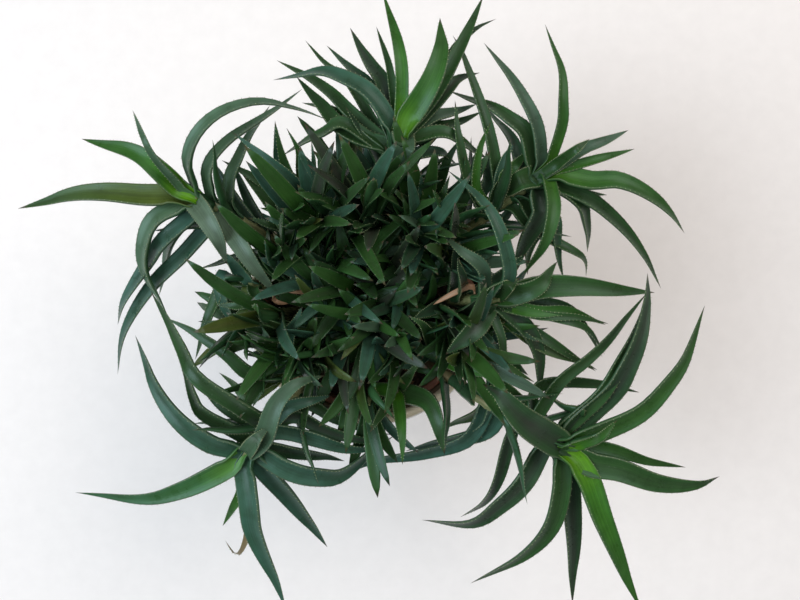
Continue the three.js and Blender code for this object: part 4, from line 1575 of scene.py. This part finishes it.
def makeStemMaterial(looks):
    material, tree, shader = newMaterial("sheathed stem", 0.6)
    _, chance, _ = attributeParts(tree, "leafWear")
    along = splitVector(tree, addNode(tree, "ShaderNodeUVMap").outputs["UV"])[1]
    clouds, grain = placeGroup(tree, grainGroup, Broad=120.0, Fine=900.0)
    lines, _ = placeGroup(tree, streakGroup, Across=22.0, Along=9.0, Chance=chance)
    colour = blend(tree, stretch(tree, lines, 0.35, 0.65), looks["green"], looks["sheath"])
    low = maths(tree, "ADD", along, times(tree, clouds, 0.4))
    low = stretch(tree, low, 0.35, 0.85, 1.0, 0.1)
    colour = blend(tree, low, colour, looks["brown"])
    feed(tree, shader.inputs["Base Color"], colour)
    feed(tree, shader.inputs["Roughness"], stretch(tree, grain, 0.3, 0.7, 0.5, 0.75))
    bumpFrom(tree, shader, maths(tree, "ADD", lines, grain), 0.5, 0.0005)
    return material


leafMaterial = makeLeafMaterial(leafLooks)
toothMaterial = makeToothMaterial(toothLooks)
stemMaterial = makeStemMaterial(stemLooks)
plantMaterials = (leafMaterial, toothMaterial, stemMaterial)
print("plant finishes made")


# Floor

def makeFloor(looks):
    material, tree, shader = newMaterial("pale floor", 0.85, specular=0.2)
    _, grain = placeGroup(tree, grainGroup, Broad=2.0, Fine=60.0)
    paper = greyOf(tree, stretch(tree, grain, 0.3, 0.7, 0.985, 1.015))
    feed(tree, shader.inputs["Base Color"], blend(tree, 1.0, looks["colour"], paper, "MULTIPLY"))
    form = bmesh.new()
    bmesh.ops.create_grid(form, x_segments=1, y_segments=1, size=looks["half"])
    mesh = meshFrom(form, "floor")
    mesh.materials.append(material)
    floor = bpy.data.objects.new("floor", mesh)
    scene.collection.objects.link(floor)


makeFloor(floorLooks)


# Pot, inner pot and soil

potLooks = {
    "glaze": (0.86, 0.86, 0.85),
    "thick": (0.90, 0.90, 0.89),
    "lip": (0.92, 0.80, 0.59),
    "clay": (0.62, 0.50, 0.38),
    "roughness": (0.16, 0.8),            # of the glaze and of the bare foot
    "lipFrom": (0.0985, 0.1005),         # metres from the axis over which the lip's cream ends
    "lipHeight": (0.1560, 0.1585),
    "insideFrom": (0.0900, 0.0910),
    "insideHeight": (0.105, 0.115),
    "footHeight": (0.0022, 0.0030),
    "steps": 128,
}

innerPotLooks = {
    "plastic": (0.30, 0.105, 0.062),
    "dusty": (0.42, 0.22, 0.15),
    "steps": 96,
}

soilLooks = {
    "dark": (0.012, 0.008, 0.006),
    "light": (0.065, 0.042, 0.028),
    "floor": 15,
    "rough": 1.6,        # mm, height of the lumps
    "lumpScale": 0.11,
    "level": 6,          # mm from the wall over which the lumps flatten out
    "sunk": 0.4,
    "steps": 96,
    "bands": 26,
}

# The inner pot's inside wall, in millimetres, and the gap that the soil leaves to it
innerWall = {"foot": 64, "flare": 18, "from": 14.3, "tall": 140.7, "gap": 0.4}

crumbReach = 79  # mm from the pot's axis

crumbLooks = {
    "crumbs": {
        "count": 620,
        "sizes": (0.7, 2.2),
        "shape": (1, 1, 0.8),
        "dark": (0.014, 0.009, 0.006),
        "light": (0.075, 0.048, 0.030),
        "roughness": 0.95,
    },
    "bark chips": {
        "count": 70,
        "sizes": (1.6, 3.4),
        "shape": (1.4, 0.8, 0.35),
        "dark": (0.09, 0.045, 0.022),
        "light": (0.20, 0.11, 0.055),
        "roughness": 0.85,
    },
    "perlite": {
        "count": 60,
        "sizes": (0.7, 1.5),
        "shape": (1, 1, 0.9),
        "dark": (0.55, 0.53, 0.49),
        "light": (0.75, 0.74, 0.70),
        "roughness": 0.9,
    },
}


def arcPoints(centre, radius, start, end, steps):
    turns = np.radians(np.linspace(start, end, steps + 1))
    return [(centre[0] + radius * math.cos(a), centre[1] + radius * math.sin(a)) for a in turns]


def spinOutline(name, outline, steps):
    form = bmesh.new()
    verts = [form.verts.new((radius * mm, 0, z * mm)) for radius, z in outline]
    edges = [form.edges.new(pair) for pair in zip(verts, verts[1:])]
    bmesh.ops.spin(form, geom=verts + edges, cent=(0, 0, 0), axis=(0, 0, 1), dvec=(0, 0, 0),
                   angle=2 * math.pi, steps=steps, use_merge=True)
    bmesh.ops.remove_doubles(form, verts=form.verts, dist=1e-6)
    bmesh.ops.recalc_face_normals(form, faces=form.faces)
    for face in form.faces:
        face.smooth = True
    return meshFrom(form, name)


def potOutline():
    # Foot, outer wall, the groove under the rim, the rolled rim, then down the inside to the floor
    wall = [(74 + 22 * t ** 0.86, 2.2 + 139 * t) for t in evenly(14)]
    inside = [(86 - 16 * t ** 1.15, 110 - 98 * t) for t in evenly(8)]
    return [
        (0, 0), (60, 0), *arcPoints((72.2, 1.8), 1.8, -90, -10, 4), *wall,
        *arcPoints((96.9, 144.2), 1.2, -120, 0, 3), *arcPoints((96.2, 147.4), 1.4, -40, 0, 2),
        *arcPoints((94.2, 156.0), 5.8, -30, 100, 12), *arcPoints((94.6, 160.6), 4.3, 100, 190, 8),
        (89.6, 154), (88, 132), *inside, (64, 12), (0, 12),
    ]


def makePotMaterial(looks):
    material, tree, shader = newMaterial("cream glaze", looks["roughness"][0], coat=0.35)
    clouds, grain = placeGroup(tree, grainGroup, Broad=9.0, Fine=420.0)
    place = splitVector(tree, addNode(tree, "ShaderNodeTexCoord").outputs["Object"])
    height = place[2]
    fromAxis = maths(tree, "SQRT", maths(tree, "ADD", times(tree, place[0], place[0]),
                                         times(tree, place[1], place[1])))
    colour = blend(tree, stretch(tree, clouds, 0.3, 0.7), looks["glaze"], looks["thick"])
    wavering = maths(tree, "ADD", fromAxis, times(tree, clouds, 0.002))
    lip = times(tree, stretch(tree, wavering, *looks["lipFrom"], 1.0, 0.0, smooth=True),
                stretch(tree, height, *looks["lipHeight"], 0.0, 1.0, smooth=True))
    inside = times(tree, stretch(tree, fromAxis, *looks["insideFrom"], 1.0, 0.0),
                   stretch(tree, height, *looks["insideHeight"]))
    cream = maths(tree, "MAXIMUM", lip, inside)
    colour = blend(tree, cream, colour, looks["lip"])
    speckle = stretch(tree, grain, 0.72, 0.78, 0.0, 0.30)
    colour = blend(tree, speckle, colour, looks["clay"])
    bare = stretch(tree, maths(tree, "ADD", height, times(tree, clouds, 0.0016)),
                   *looks["footHeight"], 1.0, 0.0, smooth=True)
    colour = blend(tree, bare, colour, looks["clay"])
    feed(tree, shader.inputs["Base Color"], colour)
    feed(tree, shader.inputs["Roughness"], stretch(tree, bare, 0.0, 1.0, *looks["roughness"]))
    bumpFrom(tree, shader, maths(tree, "ADD", clouds, times(tree, grain, 0.08)), 0.12, 0.002)
    return material


def makeInnerPotMaterial(looks):
    material, tree, shader = newMaterial("nursery pot plastic", 0.55)
    clouds, grain = placeGroup(tree, grainGroup, Broad=45.0, Fine=1400.0)
    colour = blend(tree, stretch(tree, clouds, 0.4, 0.75, 0.0, 0.7), looks["plastic"], looks["dusty"])
    feed(tree, shader.inputs["Base Color"], colour)
    feed(tree, shader.inputs["Roughness"], stretch(tree, clouds, 0.3, 0.7, 0.42, 0.72))
    bumpFrom(tree, shader, grain, 0.2, 0.0003)
    return material


def makeSoilMaterial(looks):
    material, tree, shader = newMaterial("potting mix", 0.95, specular=0.25)
    clouds, grain = placeGroup(tree, grainGroup, Broad=160.0, Fine=1300.0)
    colour = blend(tree, stretch(tree, clouds, 0.3, 0.7), looks["dark"], looks["light"])
    colour = blend(tree, 1.0, colour, greyOf(tree, stretch(tree, grain, 0.3, 0.7, 0.5, 1.6)), "MULTIPLY")
    feed(tree, shader.inputs["Base Color"], colour)
    bumpFrom(tree, shader, maths(tree, "ADD", clouds, grain), 0.8, 0.0012)
    return material


def makeCrumbMaterial(name, looks):
    material, tree, shader = newMaterial(name, looks["roughness"], specular=0.3)
    clouds, grain = placeGroup(tree, grainGroup, Broad=260.0, Fine=1500.0)
    colour = blend(tree, stretch(tree, clouds, 0.35, 0.65), looks["dark"], looks["light"])
    feed(tree, shader.inputs["Base Color"], colour)
    bumpFrom(tree, shader, grain, 0.5, 0.0005)
    return material


def innerPotOutline():
    # Base, outer wall, the rolled lip, then down the inside to a floor 2 mm thick
    base, top = 12.3, 155
    return [
        (0, base), (62, base), *arcPoints((64.6, base + 1.4), 1.4, -90, 0, 3),
        *[(66 + 18 * t, base + 2 + (top - 8 - base - 2) * t) for t in evenly(8)],
        (87.0, top - 8), (87.5, top - 7.4), *arcPoints((86.3, top - 1.2), 1.2, 0, 90, 4),
        *arcPoints((83.2, top - 1.2), 1.2, 90, 180, 4), (81.9, top - 6),
        *[(81.6 - 17.6 * t, top - 10 + (base + 2 - top + 10) * t) for t in evenly(6)], (0, base + 2),
    ]


def soilEdge(z):
    rise = innerWall["flare"] * (z - innerWall["from"]) / innerWall["tall"]
    return innerWall["foot"] + rise - innerWall["gap"]


def makeSoil(looks):
    top, floor = soilTop, looks["floor"]
    rings = [(soilEdge(top) * math.sqrt(1 - t), top) for t in evenly(looks["bands"])]
    mesh = spinOutline("soil_surface", [(0, floor), (soilEdge(floor), floor), *rings], looks["steps"])
    places = np.zeros(len(mesh.vertices) * 3)
    mesh.vertices.foreach_get("co", places)
    places = places.reshape(-1, 3)
    scale = looks["lumpScale"]
    for i in np.flatnonzero(places[:, 2] > (top - 0.5) * mm):
        x, y, _ = places[i] / mm
        edge = min(1, (soilEdge(top) - math.hypot(x, y)) / looks["level"])
        lump = noise.fractal((x * scale, y * scale, 0), 0.9, 2.2, 4)
        places[i, 2] += (lump * looks["rough"] * edge - looks["sunk"]) * mm
    mesh.vertices.foreach_set("co", places.ravel())
    mesh.update()
    return mesh


def scatterCrumbs(kinds):
    # Crumbs, bark chips and perlite lie on the soil, partly sunk in it
    form = bmesh.new()
    for number, looks in enumerate(kinds.values()):
        shape = looks["shape"]
        for _ in range(looks["count"]):
            size = soilChance.uniform(*looks["sizes"])
            radius = crumbReach * math.sqrt(soilChance.random())
            turn = soilChance.uniform(0, 2 * math.pi)
            made = bmesh.ops.create_icosphere(form, subdivisions=1, radius=size * mm)["verts"]
            for vert in made:
                vert.co *= soilChance.uniform(0.75, 1.2)
                vert.co = Vector(a * b for a, b in zip(vert.co, shape))
            tumble = Matrix.Rotation(soilChance.uniform(0, 6.3), 3, "Z") @ Matrix.Rotation(
                soilChance.uniform(-0.5, 0.5), 3, "X")
            bmesh.ops.rotate(form, verts=made, matrix=tumble)
            place = (radius * math.cos(turn), radius * math.sin(turn), soilTop + size * shape[2] * 0.3)
            bmesh.ops.translate(form, verts=made, vec=Vector(place) * mm)
            for face in {face for vert in made for face in vert.link_faces}:
                face.material_index = number
    return meshFrom(form, "soil_crumbs")


newPiece("glazed_pot", spinOutline("glazed_pot", potOutline(), potLooks["steps"]),
         [makePotMaterial(potLooks)], replaces=["pot"])
newPiece("nursery_pot", spinOutline("nursery_pot", innerPotOutline(), innerPotLooks["steps"]),
         [makeInnerPotMaterial(innerPotLooks)], replaces=["inner_pot"])
newPiece("soil_surface", makeSoil(soilLooks), [makeSoilMaterial(soilLooks)],
         replaces=["soil"])
newPiece("soil_crumbs", scatterCrumbs(crumbLooks),
         [makeCrumbMaterial(name, looks) for name, looks in crumbLooks.items()])
print("pots and soil made")


# Plants

readPlants, offsets = growAll()
for plant in readPlants + offsets:
    name = plant["name"]
    newPiece(f"{name}_leaves", plantMesh(f"{name}_leaves", [plant]), plantMaterials,
             replaces=[name])
print("plants made:", len(readPlants), "leafy stems and", len(offsets), "offsets")

holes = [plant["hole"] for plant in readPlants + offsets]
edge = growOffsets(edgeLooks, holes, "edge ")
newPiece("edge_offsets", plantMesh("edge_offsets", edge), plantMaterials)
print("edge offsets:", len(edge), "with", sum(len(plant["leaves"]) for plant in edge), "leaves")
young = growOffsets(youngLooks, holes, "young ")
newPiece("young_offsets", plantMesh("young_offsets", young), plantMaterials)
print("young offsets:", len(young), "with", sum(len(plant["leaves"]) for plant in young), "leaves")
